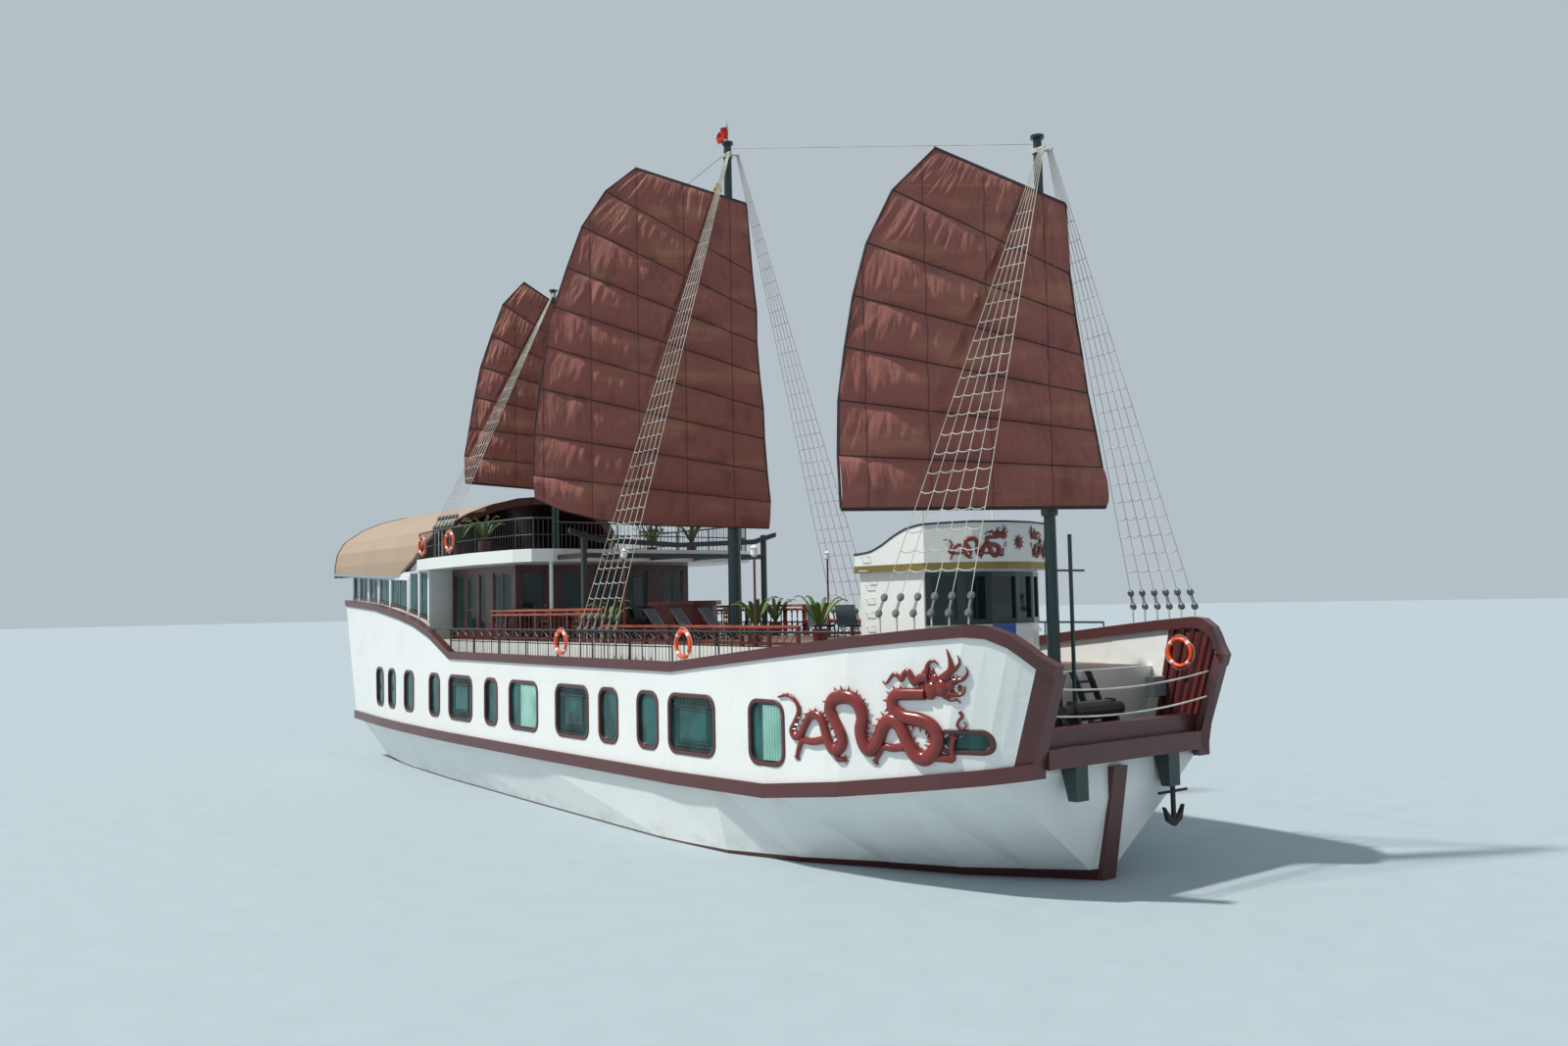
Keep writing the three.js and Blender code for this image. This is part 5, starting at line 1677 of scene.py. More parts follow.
@dataclass
class Wheelhouse:
    """The glazed front, the rungs on the side, the parapet's rim and stripe, and its carvings."""

    front: tuple[Place2, ...] = (
        (-1.93, 15.34), (-1.2, 15.8), (-0.4, 15.98), (0.4, 15.98), (1.2, 15.8), (1.93, 15.34))
    roof: tuple[Place2, ...] = (
        (13.1, 2.05), (15.5, 2.05), (16.25, 1.25), (16.5, 0.4), (16.5, -0.4), (16.25, -1.25), (15.5, -2.05),
        (13.1, -2.05))
    crest: tuple[Place2, ...] = (
        (12.0, 7.12), (13.15, 7.12), (13.65, 7.16), (14.05, 7.29), (14.45, 7.48), (14.85, 7.63), (15.25, 7.7),
        (15.85, 7.74), (17.0, 7.78))
    windows: tuple[Place2, ...] = ((-1.81, -1.27), (-1.12, -0.56), (-0.42, 0.42), (0.56, 1.12), (1.27, 1.81))
    sill: float = 5.52
    head: float = 6.56
    glazed: float = 1.9  # half breadth of the band of windows
    pearl_at: Place2 = (16.5, 7.3)
    small: float = 0.32  # the small dragons' scale

    def across(self, start: float, end: float) -> list[Place2]:
        """The front wall's line from one y to a lower one."""
        corners = [y for y, _ in self.front if end + 0.01 < y < start - 0.01]
        return [(table(self.front, y), y) for y in (start, *sorted(corners, reverse=True), end)]

    def glazing(self, shop: Shop) -> None:
        """Dark frames round the front windows, and their glass.

        Args:
            shop: The shop that finishes the pieces.
        """
        low, high, far = self.sill, self.head, self.glazed
        dark = [strip("frame", self.across(far, -far), low - 0.09, low + 0.03, 0.004, 0.03),
                strip("frame", self.across(far, -far), high - 0.03, high + 0.08, 0.004, 0.03)]
        between = [(a[1] - 0.02, b[0] + 0.02) for a, b in zip(self.windows, self.windows[1:])]
        for a, b in ((-far, -1.79), *between, (1.79, far)):
            dark.append(strip("frame", self.across(b, a), low, high, 0.004, 0.026))
        panes, inner = [], []
        for a, b in self.windows:
            panes.append(strip("glass", self.across(b, a), low, high, -0.05, 0.012))
            inner.append(strip("sash", self.across(b, b - 0.04), low, high, -0.04, 0.03))
            inner.append(strip("sash", self.across(a + 0.04, a), low, high, -0.04, 0.03))
        shop.join("wheelhouse_window_frames", dark + inner, "black_steel", MAST)
        shop.join("wheelhouse_glass", panes, "black_steel", DARK_PANE)

    def parapet(self, shop: Shop) -> None:
        """The parapet's dark rim, and the gilded stripe at its foot.

        Args:
            shop: The shop that finishes the pieces.
        """
        line = along_path([*self.roof, self.roof[0]], 0.2)[:-1]
        tops = [table(self.crest, x) for x, _ in line]
        lows, highs = [z - 0.01 for z in tops], [z + 0.035 for z in tops]
        rim = strip("parapet_rim", line, lows, highs, -0.105, 0.12, True)
        shop.fit(smooth(rim, 30), STEEL)
        stripe = strip("parapet_stripe", self.roof, 6.69, 6.85, 0.003, 0.012, True)
        shop.fit(stripe, GOLD)

    def gear(self, shop: Shop) -> None:
        """Rungs up the starboard side, a blank plate under the windows and lamps on the roof.

        Args:
            shop: The shop that finishes the pieces.
        """
        rungs = []
        for k in range(8):
            z = 4.75 + 0.33 * k
            wall = -1.93 if z < 6.6 else -2.05
            line = [(13.35, wall, z), (13.36, wall - 0.09, z), (13.64, wall - 0.09, z), (13.65, wall, z)]
            rungs.append(rope("rung", line, 0.011, 6))
        shop.join("wheelhouse_rungs", rungs, "white_paint", WHITE)
        plate = block("wheelhouse_plate", (15.982, -0.39, 5.13), (16.0, 0.39, 5.42), 0.003)
        shop.fit(plate, SIGN)
        poles = [bar("pole", (14.6, y, 6.8), (14.6, y, 8.35), 0.022, 8) for y in (-1.2, 1.2)]
        dome = ((0, 0), (0.16, 0), (0.19, 0.06), (0.15, 0.14), (0, 0.17))
        poles.append(turned("dome", dome, Matrix.Translation((14.2, 0.3, 7.5)), 16))
        poles.append(bar("pole", (14.2, 0.3, 6.8), (14.2, 0.3, 7.52), 0.03, 8))
        shop.join("wheelhouse_aerials", poles, "white_paint", WHITE)

    def carvings(self, shop: Shop) -> None:
        """Two small dragons that face a flaming pearl.

        Args:
            shop: The shop that finishes the pieces.
        """
        half = [(16.5, 0.0), (16.5, 0.4), (16.25, 1.25), (15.5, 2.05)]
        reach = [0.0]
        for (x0, y0), (x1, y1) in zip(half, half[1:]):
            reach.append(reach[-1] + math.hypot(x1 - x0, y1 - y0))
        for name, side in SIDES.items():
            def lay(x: float, z: float, lift: float, side: float = side) -> Point:
                """A place on the parapet's front.

                Args:
                    x: How far forward the point was drawn.
                    z: How high it was drawn.
                    lift: Its height over the surface.
                    side: -1 for starboard, 1 for port.

                Returns:
                    The place.
                """
                s = 0.34 + (18.5 - x) * self.small
                at = [float(np.interp(s, reach, [p[k] for p in half])) for k in (0, 1)]
                return at[0] + 0.75 * lift, side * (at[1] + 0.6 * lift), 6.94 + (z - 2.63) * self.small

            parts = Dragon().parts(lay, Vector((0.75, side * 0.6, 0)), self.small)
            shop.join(f"small_dragon_{name}", parts, "red_timber", RELIEF)
        x, z = self.pearl_at
        disc = ((0, 0), (0.1, 0), (0.11, 0.02), (0.07, 0.05), (0, 0.06))
        pearl = [turned("pearl", disc, upended((x, 0, z), "Y"), 20)]
        for k in range(9):
            a = 2 * math.pi * k / 9
            root, tip = ((x + 0.012, r * math.cos(a), z + r * math.sin(a)) for r in (0.09, 0.19))
            pearl.append(bar("flame", root, tip, 0.03, 6, 0.004))
        shop.join("pearl", pearl, "red_timber", RELIEF)

    def build(self, shop: Shop) -> None:
        """Builds the wheelhouse's dressing.

        Args:
            shop: The shop that finishes the pieces.
        """
        self.glazing(shop)
        self.parapet(shop)
        self.gear(shop)
        self.carvings(shop)


@dataclass
class PoopHouse:
    """The long row of panes along the poop, its posts and sill boards."""

    wall: tuple[Place2, ...] = ((-18.35, 3.39), (-13.5, 3.9), (-11.25, 4.13), (-7.95, 4.19))
    bays: tuple[Place2, ...] = (
        (-18.2, -17.33), (-17.17, -15.72), (-15.56, -14.08), (-13.92, -12.34), (-12.18, -10.25),
        (-9.95, -9.05), (-8.9, -8.1))
    eave: tuple[Place2, ...] = ((-18.75, 7.49), (-11.2, 7.18), (-10.0, 7.18), (-9.96, 7.39), (-7.0, 7.39))
    posts: tuple[float, ...] = (-18.27, -17.25, -15.64, -14.0, -12.26, -10.1, -8.97, -8.02)

    def build(self, shop: Shop) -> None:
        """Builds both sides.

        Args:
            shop: The shop that finishes the pieces.
        """
        frames, panes, boards, posts = [], [], [], []
        for start, end in self.bays:
            path = ((start, table(self.wall, start)), (end, table(self.wall, end)))
            low = (table(CAP_TOPS, start) + 0.06, table(CAP_TOPS, end) + 0.06)
            high = (table(self.eave, start), table(self.eave, end))
            lights = 2 if end - start > 1.2 else 1
            bars, glass = casement(path, low, high, lights, 0.045)
            frames += [twin for piece in bars for twin in both(piece)]
            panes += both(glass)
            boards += both(strip("sill", path, list(low), [z + 0.1 for z in low], 0.002, 0.03))
        for x in self.posts:
            y, foot, top = table(self.wall, x), table(CAP_TOPS, x), table(self.eave, x)
            posts += both(block("post", (x - 0.07, y - 0.02, foot + 0.02), (x + 0.07, y + 0.035, top + 0.1)))
        posts += both(block("panel", (-7.952, 3.5, 5.33), (-7.935, 4.16, 7.43), 0.004))
        shop.join("poop_window_frames", frames, "white_paint", GREY)
        shop.join("poop_window_glass", panes, "black_steel", PANE)
        shop.join("poop_sill_boards", boards, "brown_timber", BROWN)
        shop.join("poop_posts", posts, "white_paint", WHITE)


@dataclass
class Deckhouse:
    """Glazed leaves in dark red frames, with real glass in the two hinged doors."""

    sides: tuple[tuple[float, float, float, int], ...] = (
        (-7.6, -6.65, 5.25, 1), (-5.45, -4.9, 5.25, 1), (-4.3, -2.87, 5.45, 2))
    front: tuple[tuple[float, float, float, int], ...] = (
        (3.2, 2.3, 5.45, 1), (1.7, 0.85, 5.45, 1), (0.45, -0.45, 5.0, 2), (-0.85, -1.7, 5.45, 1),
        (-2.3, -3.2, 5.45, 1))
    head: float = 7.23
    half: float = 3.42
    face: float = -2.56

    def door(self, side: float) -> Piece:
        """A framed glass leaf in place of the model's plain one.

        Args:
            side: -1 for starboard, 1 for port.

        Returns:
            The leaf without its glass.
        """
        low, high = 5.0004, 7.224
        near, far = sorted((side * 3.38, side * self.half))
        stiles = [block("stile", (x, near, low), (x + 0.1, far, high), 0.005) for x in (-6.494, -5.706)]
        levels = ((0.002, low, low + 0.24), (0.002, high - 0.12, high), (0.004, 5.95, 6.03))
        rails = [block("rail", (-6.45, near + inset, foot), (-5.65, far - inset, top), 0.005)
                 for inset, foot, top in levels]
        return joined("leaf", stiles + rails)

    def build(self, shop: Shop) -> None:
        """Builds the frames, the glass and the two leaves.

        Args:
            shop: The shop that finishes the pieces.
        """
        frames, panes = [], []
        heads = (self.head, self.head)
        for start, end, sill, lights in self.sides:
            path = ((start, self.half), (end, self.half))
            bars, glass = casement(path, (sill, sill), heads, lights, 0.07)
            frames += [twin for piece in bars for twin in both(piece)]
            panes += both(glass)
        for start, end, sill, lights in self.front:
            bars, glass = casement(((self.face, start), (self.face, end)), (sill, sill), heads, lights, 0.07)
            frames += bars
            panes.append(glass)
        shop.join("deckhouse_frames", frames, "red_timber", UPRIGHT)
        shop.join("deckhouse_glass", panes, "black_steel", CLEAR_PANE)
        for name, side in SIDES.items():
            body = f"deckhouse_door_{name}"
            pane = block("pane", (-6.4, side * 3.4 - 0.005, 5.22), (-5.7, side * 3.4 + 0.005, 7.12), 0)
            parts = [shop.paint(self.door(side), UPRIGHT), shop.paint(pane, CLEAR_PANE)]
            shop.fit(joined(f"{body}_leaf", parts), None, body, [body])


@dataclass
class Roof:
    """The barrel roof's dark front band, its lining and the pale fascia along its eaves."""

    outer: tuple[Place2, ...] = (
        (0, 10.2), (1.0, 10.1), (2.0, 9.85), (2.85, 9.5), (3.65, 8.95), (3.95, 8.45), (4.05, 7.9),
        (4.06, 7.45))
    inner: tuple[Place2, ...] = (
        (0, 10.08), (0.97, 9.985), (1.94, 9.74), (2.77, 9.4), (3.54, 8.88), (3.83, 8.42), (3.93, 7.9),
        (3.94, 7.45))
    edge: tuple[Place2, ...] = (
        (7.29, -11.2), (7.99, -9.4), (8.69, -8.56), (9.23, -7.9), (9.6, -7.5), (10.3, -7.2))

    def arch(self, half: Sequence[Place2]) -> list[Place2]:
        """A whole arch from port to starboard."""
        return [*reversed(half), *((-y, z) for y, z in half[1:])]

    def band(self, name: str, deep: float, ahead: float, inward: float,
             at: float | None = None) -> Piece:
        """A band round the roof's edge.

        Args:
            name: The band's name.
            deep: How far it reaches back.
            ahead: How far it reaches ahead.
            inward: How far it reaches in from the inner arch.
            at: Where it stands along the ship, if not at the raked front.

        Returns:
            The band.
        """
        rows: list[list[Point]] = [[], [], [], []]
        for (y0, z0), (y1, z1) in zip(self.arch(self.outer), self.arch(self.inner)):
            x0, x1 = (table(self.edge, z) if at is None else at for z in (z0, z1))
            way = Vector((y0 - y1, z0 - z1)).normalized()
            over, under = Vector((y0, z0)) + way * 0.02, Vector((y1, z1)) - way * inward
            corners = ((x0 - deep, over), (x0 + ahead, over), (x1 + ahead, under), (x1 - deep, under))
            for row, (x, spot) in zip(rows, corners):
                row.append((x, *spot))
        return smooth(capped(skin(name, rows, ends=True)), 40)

    def build(self, shop: Shop) -> None:
        """Builds the bands, the lining and the fascia.

        Args:
            shop: The shop that finishes the pieces.
        """
        shop.fit(self.band("roof_front_band", 0.3, 0.03, 0.15), BROWN)
        shop.fit(self.band("roof_aft_band", 0.02, 0.05, 0.02, -18.74), BROWN)
        rows = []
        for k in range(9):
            row = [(-18.6 + (table(self.edge, z) + 18.4) * k / 8, y * 0.996, z - 0.014)
                   for y, z in self.arch(self.inner)]
            rows.append(row)
        lining = thickened("roof_lining", rows, 0.01)
        shop.fit(smooth(lining, 40), OXIDE)
        eave = strip("eave", [(-18.75, 4.06), (-11.2, 4.06)], [7.53, 7.22], [7.64, 7.33], 0.004, 0.03)
        shop.join("eave_fascia", both(eave), "white_paint", GREY)


@dataclass
class Railings:
    """The black rail's bays, the balusters and lattice of the raised deck, and the upper rail's pickets."""

    upper: tuple[Place2, ...] = (
        (-9.05, 4.13), (-7.0, 4.43), (-3.0, 4.63), (-0.55, 4.38), (0.12, 4.1), (0.3, 3.5))
    baluster: tuple[Place2, ...] = (
        (0, 0), (0.032, 0), (0.032, 0.07), (0.016, 0.09), (0.036, 0.22), (0.03, 0.33), (0.015, 0.42),
        (0.028, 0.5), (0.017, 0.57), (0.032, 0.6), (0.032, 0.69), (0, 0.69))
    rails: tuple[tuple[Point, Point], ...] = (
        ((-3.68, 3.672, 5.885), (3.885, 3.808, 5.966)), ((-3.68, 3.676, 5.755), (3.885, 3.804, 5.832)),
        ((3.875, 3.685, 5.396), (13.04, 3.795, 5.476)))

    def black_bays(self) -> list[Piece]:
        """The port rail's posts, arches and thin bars.

        Returns:
            The parts.
        """
        parts = []

        def at(x: float, z: float) -> Point:
            """A place in the rail's plane."""
            foot = table(CAP_TOPS, x)
            return x, cap_middle(x, foot) + 0.03, max(z, foot + 0.01)

        for k in range(27):
            x, end = -4.8 + BAY * k, -4.8 + BAY * (k + 1)
            parts.append(bar("post", at(x, 0), at(x, 5.33), 0.017, 6))
            shares = (0.04, 0.2, 0.4, 0.6, 0.8, 0.96)
            arch = [at(x + (end - x) * t, 5.13 + 0.17 * math.sin(math.pi * t)) for t in shares]
            parts.append(rope("arch", arch, 0.011, 5))
            parts.append(bar("bar", at(x, 5.12), at(end, 5.12), 0.009, 4))
            thin = [x + BAY * t for t in (0.25, 0.5, 0.75)]
            parts += [bar("bar", at(here, 0), at(here, 5.12), 0.007, 4) for here in thin]
        return parts

    def build(self, shop: Shop) -> None:
        """Builds all the rails' dressing.

        Args:
            shop: The shop that finishes the pieces.
        """
        shop.join("black_rail_bays", both(joined("bays", self.black_bays())), "black_steel", STEEL)
        spindle = turned("baluster", self.baluster, Matrix(), 8)
        step = 0.29
        spots = [Matrix.Translation((-3.52 + step * k, side * BALUSTRADE, 5.075))
                 for k in range(26) for side in (1, -1)]
        shop.join("balusters", copies(spindle, spots), "red_timber", VARNISH)
        lattice = []
        for k in range(31):
            x = 4.0 + step * k
            for a, b, y in ((x, x + step, BALUSTRADE), (x + step, x, BALUSTRADE - 0.015)):
                lattice.append(bar("lath", (a, y, 5.07), (b, y, 5.41), 0.011, 4))
        shop.join("lattice", both(joined("laths", lattice)), "red_timber", VARNISH)
        rails = [block("rail", low, high, 0.02) for low, high in self.rails]
        shop.join("orange_handrails", both(joined("rails", rails)), "red_timber", RAILWOOD)
        pickets = []
        for path, top in ((self.upper, 8.83), (((0.3, 3.5), (0.3, 0.0)), 8.7)):
            for x, y in along_path(path, 0.15):
                pickets.append(bar("picket", (x, y, 7.84), (x, y, top), 0.009, 4))
        shop.join("upper_rail_pickets", both(joined("pickets", pickets)), "black_steel", STEEL)


@dataclass
class Decks:
    """Laid planks over the walked decks."""

    upper: tuple[Place2, ...] = (
        (0.45, 3.55), (0.15, 4.15), (-0.53, 4.45), (-3.0, 4.7), (-7.0, 4.5), (-8.8, 4.29), (-9.69, 3.88),
        (-11.2, 3.88))

    @staticmethod
    def side(xs: Sequence[float], inner: float, z: float) -> Piece:
        """Planks between the raised deck, or the middle line, and the port bulwark."""
        rows = [[(x, y, z) for y in np.linspace(inner, LINES.half(x, z) - 0.105, 3)] for x in xs]
        return thickened("planks", rows, 0.004)

    def build(self, shop: Shop) -> None:
        """Builds the planks of every deck.

        Args:
            shop: The shop that finishes the pieces.
        """
        outline = [*self.upper, *((x, -y) for x, y in reversed(self.upper))]
        decks = [block("planks", (-7.84, -3.84, RAISED_DECK + 0.0005), (13.12, 3.84, RAISED_PLANKS), 0),
                 slab("planks", outline, "z", (UPPER_DECK + 0.0005, UPPER_DECK + 0.006)),
                 *both(self.side(np.linspace(-7.8, 13.1, 20), 3.86, 4.304)),
                 *both(self.side(np.linspace(13.14, 16.68, 6), 0.0, 4.304)),
                 *both(self.side(np.linspace(17.02, 18.88, 6), 0.0, 2.954))]
        shop.join("laid_decks", decks, "deck_timber", DECK)


@dataclass
class Lifebuoys:
    """Smooth buoys with white bands and grab ropes, two of them in place of the model's faceted rings."""

    spots: tuple[tuple[Point, str], ...] = (
        ((9.8, -4.8686, 5.045), "lifebuoy_waist"), ((3.4, -4.881, 5.02), "lifebuoy_quarter"),
        ((-8.6, -4.2, 8.36), ""), ((-5.3, -4.56, 8.36), ""), ((18.3, 3.44, 4.67), ""))
    radius: float = 0.315
    thick: float = 0.053

    def build(self, shop: Shop) -> None:
        """Builds every buoy.

        Args:
            shop: The shop that finishes the pieces.
        """
        for k, (where, node) in enumerate(self.spots):
            face = upended(where, "X")

            def arc(angles: Sequence[float], radii: Sequence[float], face: Matrix = face) -> list[Point]:
                """Points on the buoy's face."""
                flat = [(r * math.cos(a), r * math.sin(a), 0) for a, r in zip(angles, radii)]
                return [tuple(face @ Vector(spot)) for spot in flat]

            parts = [shop.paint(ring("buoy", face, self.radius, self.thick, 40, 12), BUOY)]
            for quarter in range(4):
                start = quarter * RIGHT_ANGLE + math.pi / 4
                line = arc([start + 0.06 * (s - 2) for s in range(5)], [self.radius] * 5)
                parts.append(shop.paint(rope("band", line, self.thick + 0.0015, 12), BAND))
                slack = [0.375 + 0.03 * math.sin(math.pi * s / 6) for s in range(7)]
                grip = arc([start + s * math.pi / 12 for s in range(7)], slack)
                parts.append(shop.paint(rope("grab_rope", grip, 0.009, 5), ROPE))
            shop.fit(joined(f"buoy_{k + 1}", parts), None, "ship", [node] if node else ())


@dataclass
class Furniture:
    """Tables, chairs, loungers, potted palms, lamps and the counter's trim."""

    counter: tuple[Place2, ...] = (
        (3.85, -2.15), (3.46, -1.7), (3.42, -0.9), (3.46, -0.1), (3.85, 0.35), (4.24, -0.1), (4.28, -0.9),
        (4.24, -1.7))
    pots: tuple[Point, ...] = (
        (-5.9, 3.95, UPPER_DECK), (-3.4, 4.15, UPPER_DECK), (-1.6, 3.0, RAISED_DECK), (3.1, 3.1, RAISED_DECK),
        (10.3, 3.0, RAISED_DECK), (12.4, 2.6, RAISED_DECK))
    pot: tuple[Place2, ...] = (
        (0, 0), (0.14, 0), (0.19, 0.2), (0.2, 0.38), (0.21, 0.42), (0.17, 0.42), (0.16, 0.36), (0, 0.36))
    lamp: tuple[Place2, ...] = (
        (0, 0), (0.05, 0), (0.09, 0.05), (0.08, 0.2), (0.11, 0.22), (0.02, 0.3), (0, 0.3))

    def palm(self) -> Piece:
        """A palm of arching leaves in a glazed pot, standing on the origin.

        Returns:
            The palm's leaves.
        """
        leaves = []
        for k in range(11):
            turn, lift, reach = 2.4 * k, 0.75 + 0.35 * ((k * 7) % 5) / 5, 0.55 + 0.25 * ((k * 3) % 4) / 4
            rows: list[list[Point]] = [[], [], []]
            for s in range(7):
                t = s / 6
                out, up = reach * t, 0.42 + lift * math.sin(1.9 * t) * 0.8
                wide = 0.06 * math.sin(math.pi * min(1.0, t * 0.9 + 0.08)) + 0.004
                for row, off, dip in zip(rows, (-wide, 0.0, wide), (-0.02, 0.0, -0.02)):
                    x = out * math.cos(turn) - off * math.sin(turn)
                    y = out * math.sin(turn) + off * math.cos(turn)
                    row.append((x, y, up + dip))
            leaves.append(thickened("leaf", rows, 0.004))
        return joined("palm_leaves", leaves)

    def chair(self) -> list[Piece]:
        """A slatted dining chair that faces +X.

        Returns:
            Its parts.
        """
        half, thick = 0.22, 0.04
        ends = (-half, half - thick)
        parts = [block("seat", (-half, -half, 0.42), (half, half, 0.46))]
        parts += [block("leg", (x, y, 0), (x + thick, y + thick, 0.43)) for x in ends for y in ends]
        parts += [block("stile", (-half, y, 0.44), (thick - half, y + thick, 0.95)) for y in ends]
        parts += [block("slat", (-0.215, -0.2, z), (-0.195, 0.2, z + 0.09)) for z in (0.58, 0.71, 0.84)]
        return parts

    def lounger(self) -> list[Piece]:
        """A reclined lounger that faces +X: mesh on a tube frame.

        Returns:
            Its parts.
        """
        parts = []
        for y in (-0.3, 0.3):
            tube = [(-0.75, y, 0.95), (-0.3, y, 0.34), (0.2, y, 0.3), (0.9, y, 0.36)]
            parts.append(rope("tube", tube, 0.02, 8))
            parts += [bar("leg", (x, y, 0), (x, y, 0.33), 0.018, 8) for x in (-0.3, 0.7)]
        side = ((-0.75, 0.96), (-0.5, 0.6), (-0.3, 0.35), (0.2, 0.31), (0.9, 0.37))
        rows = [[(x, y, z) for y in (-0.3, 0.0, 0.3)] for x, z in side]
        parts.append(thickened("mesh", rows, 0.02))
        return parts

    def build(self, shop: Shop) -> None:
        """Builds and places the gear.

        Args:
            shop: The shop that finishes the pieces.
        """
        places = [Matrix.Translation((x, side * y, z)) @ Matrix.Rotation(x + side, 4, "Z")
                  for x, y, z in self.pots for side in SIDES.values()]
        shop.join("palm_leaves", copies(self.palm(), places), "deck_timber", LEAF)
        shop.join("palm_pots", copies(turned("pot", self.pot, Matrix(), 16), places), "red_timber", OXIDE)
        chair = joined("chair", self.chair())
        board = joined("table", [
            block("top", (-0.4, -0.4, 0.72), (0.4, 0.4, 0.76)),
            bar("stem", (0, 0, 0), (0, 0, 0.73), 0.045, 12),
            block("foot", (-0.25, -0.25, 0), (0.25, 0.25, 0.03))])
        spots = [Matrix.Translation((x, y, RAISED_PLANKS)) for x in (-1.2, 0.9) for y in (-2.2, 2.2)]
        away = Matrix.Translation((0.62, 0, 0)) @ Matrix.Rotation(math.pi, 4, "Z")
        seats = [spot @ Matrix.Rotation(k * RIGHT_ANGLE, 4, "Z") @ away for spot in spots for k in range(4)]
        shop.join("terrace_chairs", copies(chair, seats), "deck_timber", TEAK)
        shop.join("terrace_tables", copies(board, spots), "deck_timber", TEAK)
        spots = [Matrix.Translation((x, side * 2.7, RAISED_PLANKS)) @ Matrix.Rotation(side * -0.5, 4, "Z")
                 for x in (5.9, 7.3, 8.7) for side in SIDES.values()]
        lounger = joined("lounger", self.lounger())
        shop.join("loungers", copies(lounger, spots), "black_steel", FABRIC)
        trim = [strip("gunwale", self.counter, 6.0, 6.13, 0.0, 0.05, True),
                strip("band", self.counter, 5.05, 5.13, -0.05, 0.03, True)]
        trim += [ring("port", upended((4.22, y, 5.62), "Y"), 0.16, 0.025, 24, 8) for y in (-1.35, -0.45)]
        shop.join("counter_trim", trim, "red_timber", VARNISH)
        lamps = [turned("lamp", self.lamp, Matrix.Translation((x, BALUSTRADE, z)), 12)
                 for x, z in ((5.05, 7.35), (11.3, 7.15))]
        shop.join("lamps", both(joined("pair", lamps)), "white_paint", WHITE)


@dataclass
class Foredeck:
    """The open bow: ribbed bulwarks, ropes across its mouth, a box and a rope coil."""

    stations: tuple[float, ...] = (17.06, 17.4, 17.7, 18.1, 18.5, 18.75, 18.98)
    mouth: tuple[tuple[Point, Point], ...] = (
        ((19.62, -2.56, 4.2), (19.62, 2.4, 4.29)), ((19.62, -2.59, 3.67), (19.62, 2.29, 3.74)))

    @staticmethod
    def line(at: float, inboard: float) -> list[Point]:
        """A station's line up the inside of the port bulwark.

        Args:
            at: The station, at the foot of the side.
            inboard: How far in from the bulwark.

        Returns:
            The points, from the foot up.
        """
        rows = LINES.rows
        xs = [row[0] for row in rows]
        half, rake, start = (float(np.interp(at, xs, [row[k] for row in rows])) for k in (1, 2, 3))
        top = table(CAP_TOPS, at + rake * 2.8) - 0.262
        return [(at + rake * max(0.0, z - start), half - 0.1 - inboard, z) for z in np.linspace(2.96, top, 6)]

    def build(self, shop: Shop) -> None:
        """Builds the well's dressing.

        Args:
            shop: The shop that finishes the pieces.
        """
        lining = thickened("lining", [self.line(x, 0.012) for x in self.stations], 0.008)
        ribs = [rope("rib", self.line(x, 0.05), 0.05, 4) for x in np.arange(17.2, 18.95, 0.3)]
        shop.join("bow_linings", both(joined("side", [lining, *ribs])), "red_timber", OXIDE)
        ropes = []
        for left, right in self.mouth:
            a, b = Vector(left), Vector(right)
            shares = np.linspace(-0.01, 1.04, 12)
            line = [tuple(a.lerp(b, t) - Vector((0, 0, 0.5 * t * (1 - t)))) for t in shares]
            ropes.append(rope("rope", line, 0.02, 8))
        for k in range(4):
            coil = Matrix.Translation((17.6 + 0.01 * k, -1.7, 3.0 + 0.065 * k))
            ropes.append(ring("coil", coil, 0.3 - 0.015 * k, 0.035, 24, 8))
        shop.join("bow_ropes", ropes, "wire_rope", ROPE)
        shop.fit(block("bow_box", (17.35, 3.35, 3.6), (17.6, 3.87, 4.08), 0.02), GREY)


@dataclass
class Mastheads:
    """The plain red flag on its pole at the main truck, and the yellow pennant below it."""

    flags: tuple[tuple[str, Finish, Point, float, float], ...] = (
        ("flag_red", FLAG, (5.19, -0.01, 20.66), 0.42, 0.5),
        ("pennant_yellow", PENNANT, (4.95, -0.1, 18.95), 0.34, 0.36))

    def build(self, shop: Shop) -> None:
        """Builds both flags.

        Args:
            shop: The shop that finishes the pieces.
        """
        shop.fit(bar("flagpole", (5.2, 0.0, 20.13), (5.2, 0.0, 20.76), 0.018, 8, 0.008), SPAR)
        for name, finish, (x, y, z), high, reach in self.flags:
            rows = []
            for j in range(8):
                t = j / 7
                row = []
                for s in np.linspace(0, 1, 12):
                    along = x - reach * s * (0.45 + 0.1 * math.sin(5 * t))
                    out = y - reach * s * 0.35 + 0.05 * math.sin(9 * s + 3 * t)
                    row.append((along, out, z - high * t - 0.35 * reach * s ** 1.5))
                rows.append(row)
            cloth = smooth(thickened(name, rows, 0.004), 80)
            shop.fit(cloth, finish)


# Stage


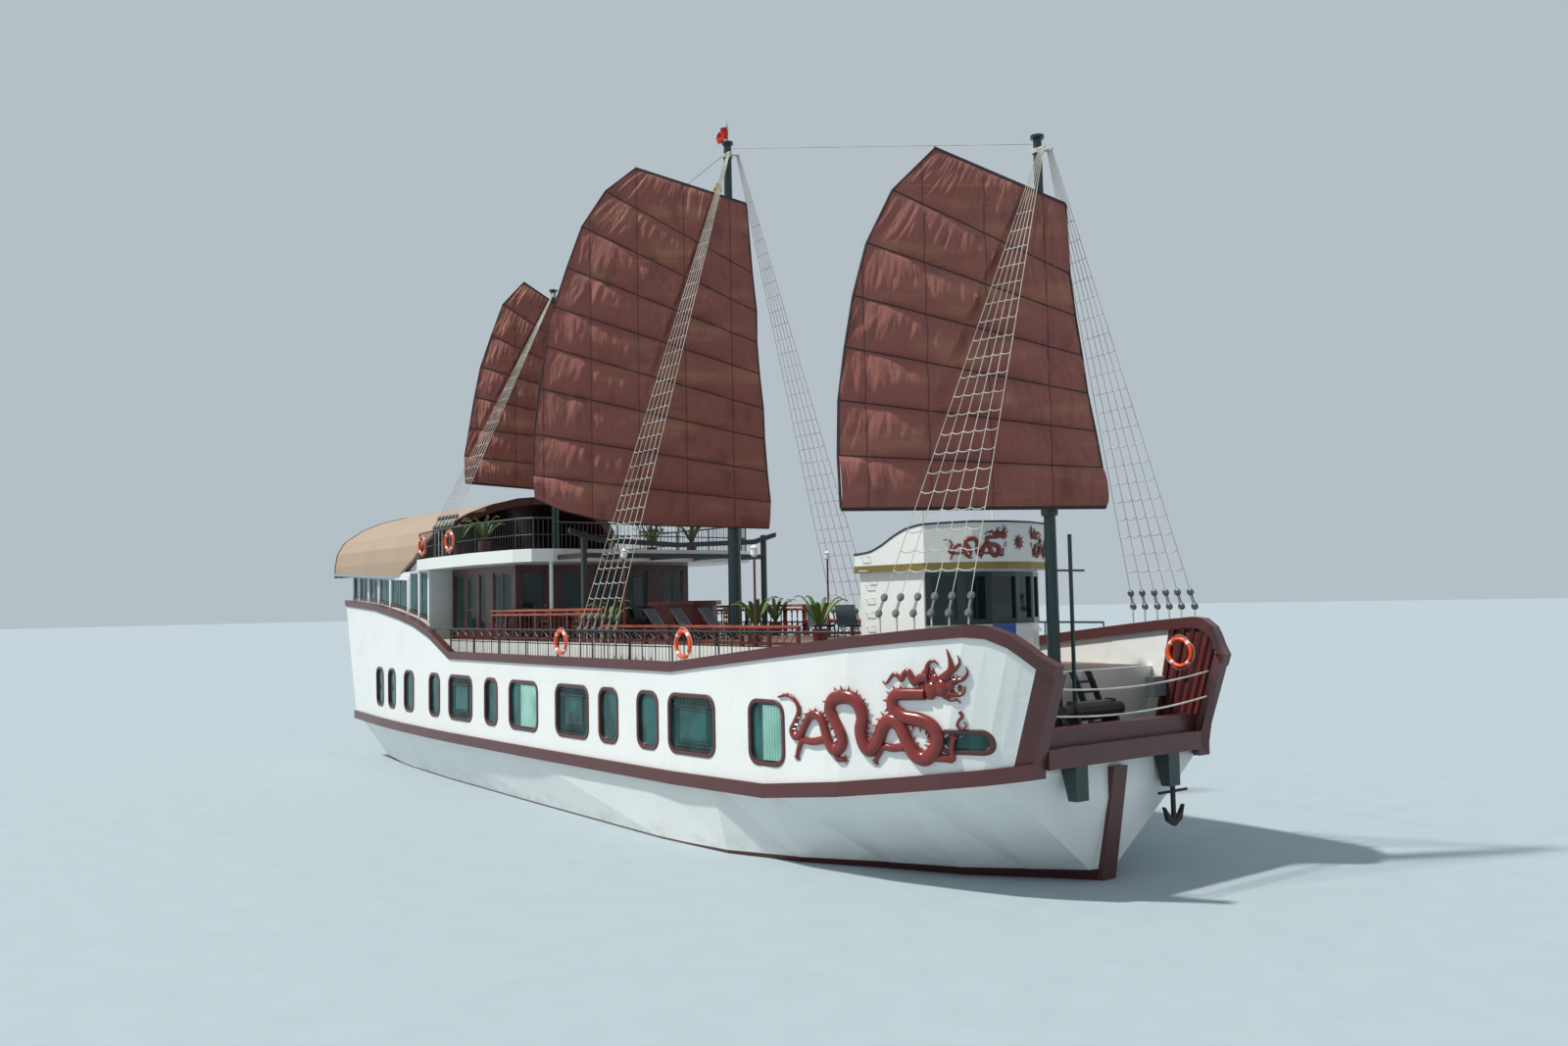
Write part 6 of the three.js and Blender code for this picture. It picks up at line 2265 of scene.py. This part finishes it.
@dataclass
class Studio:
    """Camera, light and floor."""

    eye: Point = (36.44, -22.18, 6.0)
    heading: float = 2.4848
    pitch: float = 0.0629
    roll: float = -0.0196
    lens: float = 29.25
    to_sun: Point = (-0.3, -0.5, 0.82)
    sun_strength: float = 3.9
    sun_angle: float = 2.5
    sky_strength: float = 0.65

    def camera(self) -> None:
        """Sets the camera at the photograph's viewpoint."""
        rest()
        bpy.ops.object.camera_add()
        lens = bpy.context.object
        level = Vector((math.cos(self.heading), math.sin(self.heading), 0)) * math.cos(self.pitch)
        ahead = level + Vector((0, 0, math.sin(self.pitch)))
        right = ahead.cross(Vector((0, 0, 1))).normalized()
        up = right.cross(ahead)
        turn = Matrix.Rotation(-self.roll, 3, ahead)
        right, up = turn @ right, turn @ up
        lens.matrix_world = Matrix.Translation(self.eye) @ Matrix((right, up, -ahead)).transposed().to_4x4()
        lens.data.lens = self.lens
        lens.data.sensor_width = 36
        lens.data.clip_end = 2000
        bpy.context.scene.camera = lens

    def light(self) -> None:
        """A high soft sun over the starboard quarter and a pale even sky."""
        rest()
        bpy.ops.object.light_add(type="SUN")
        sun = bpy.context.object
        sun.rotation_euler = Vector(self.to_sun).to_track_quat("Z", "Y").to_euler()
        sun.data.energy = self.sun_strength
        sun.data.angle = math.radians(self.sun_angle)
        sun.data.color = (1.0, 0.965, 0.91)
        world = bpy.data.worlds.new("Pale sky")
        world.use_nodes = True
        sky = world.node_tree.nodes["Background"]
        sky.inputs["Color"].default_value = linear("#dbe7f0")
        sky.inputs["Strength"].default_value = self.sky_strength
        bpy.context.scene.world = world
        bpy.context.scene.view_settings.view_transform = "Standard"

    def floor(self, shop: Shop) -> None:
        """A plain pale floor at the waterline.

        Args:
            shop: The shop that finishes the pieces.
        """
        rest()
        bpy.ops.mesh.primitive_plane_add(size=1600, location=(0, 0, 0))
        ground = named("floor")
        ground.data.materials.append(shop.paints.get(FLOOR))


NODE_FINISHES: dict[str, Finish] = {
    "hull_lower": HULL, "hull_upper": HULL, "stem_trunk": BROWN, "bow_beam": BROWN, "wheelhouse": WHITE,
    "wheelhouse_roof": WHITE, "deckhouse": UPRIGHT, "poop_house": WHITE, "upper_deck": WHITE,
    "sun_deck": WHITE, "stern_platform": WHITE, "barrel_roof": ROOF, "bar_counter": VARNISH,
    "pergola": STEEL, "windlass": RUSTY, "anchor": RUSTY, "bow_ladder": STEEL, "upper_rail": STEEL,
    "signal_mast": MAST, "tyre_fender": RUBBER, "wheelhouse_door": VARNISH, "stay_forward": WIRE,
    "stay_after": WIRE}
SIDE_FINISHES: dict[str, Finish] = {
    "strake": BROWN, "cap_rail": BROWN, "hawse_bracket": MAST, "main_rail": STEEL, "balustrade": VARNISH,
    "rudder": STEEL, "propeller": BRONZE}
MAKERS = (
    HullWindows, Sails, Rigger, Dragon, Wheelhouse, PoopHouse, Deckhouse, Roof, Railings, Decks, Lifebuoys,
    Furniture, Foredeck, Mastheads)


def main() -> None:
    """Loads the frame and builds every sub-assembly in order."""
    logging.basicConfig(level=logging.INFO, format="%(name)s %(message)s")
    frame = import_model()
    shop = Shop(frame)
    studio = Studio()
    studio.camera()
    studio.light()
    studio.floor(shop)
    for node, finish in NODE_FINISHES.items():
        shop.dress_node(node, finish)
    for stem, finish in SIDE_FINISHES.items():
        for side in SIDES:
            shop.dress_node(f"{stem}_{side}", finish)
    for rig in RIGS:
        shop.dress_node(f"{rig.name}_mast", MAST)
        shop.dress_node(f"{rig.name}_shrouds", ROPE)
        shop.dress_node(f"{rig.name}_sail_frame", SPAR)
    for maker in MAKERS:
        maker().build(shop)
    log.info("%d pieces", shop.count)


if __name__ == "__main__":
    main()
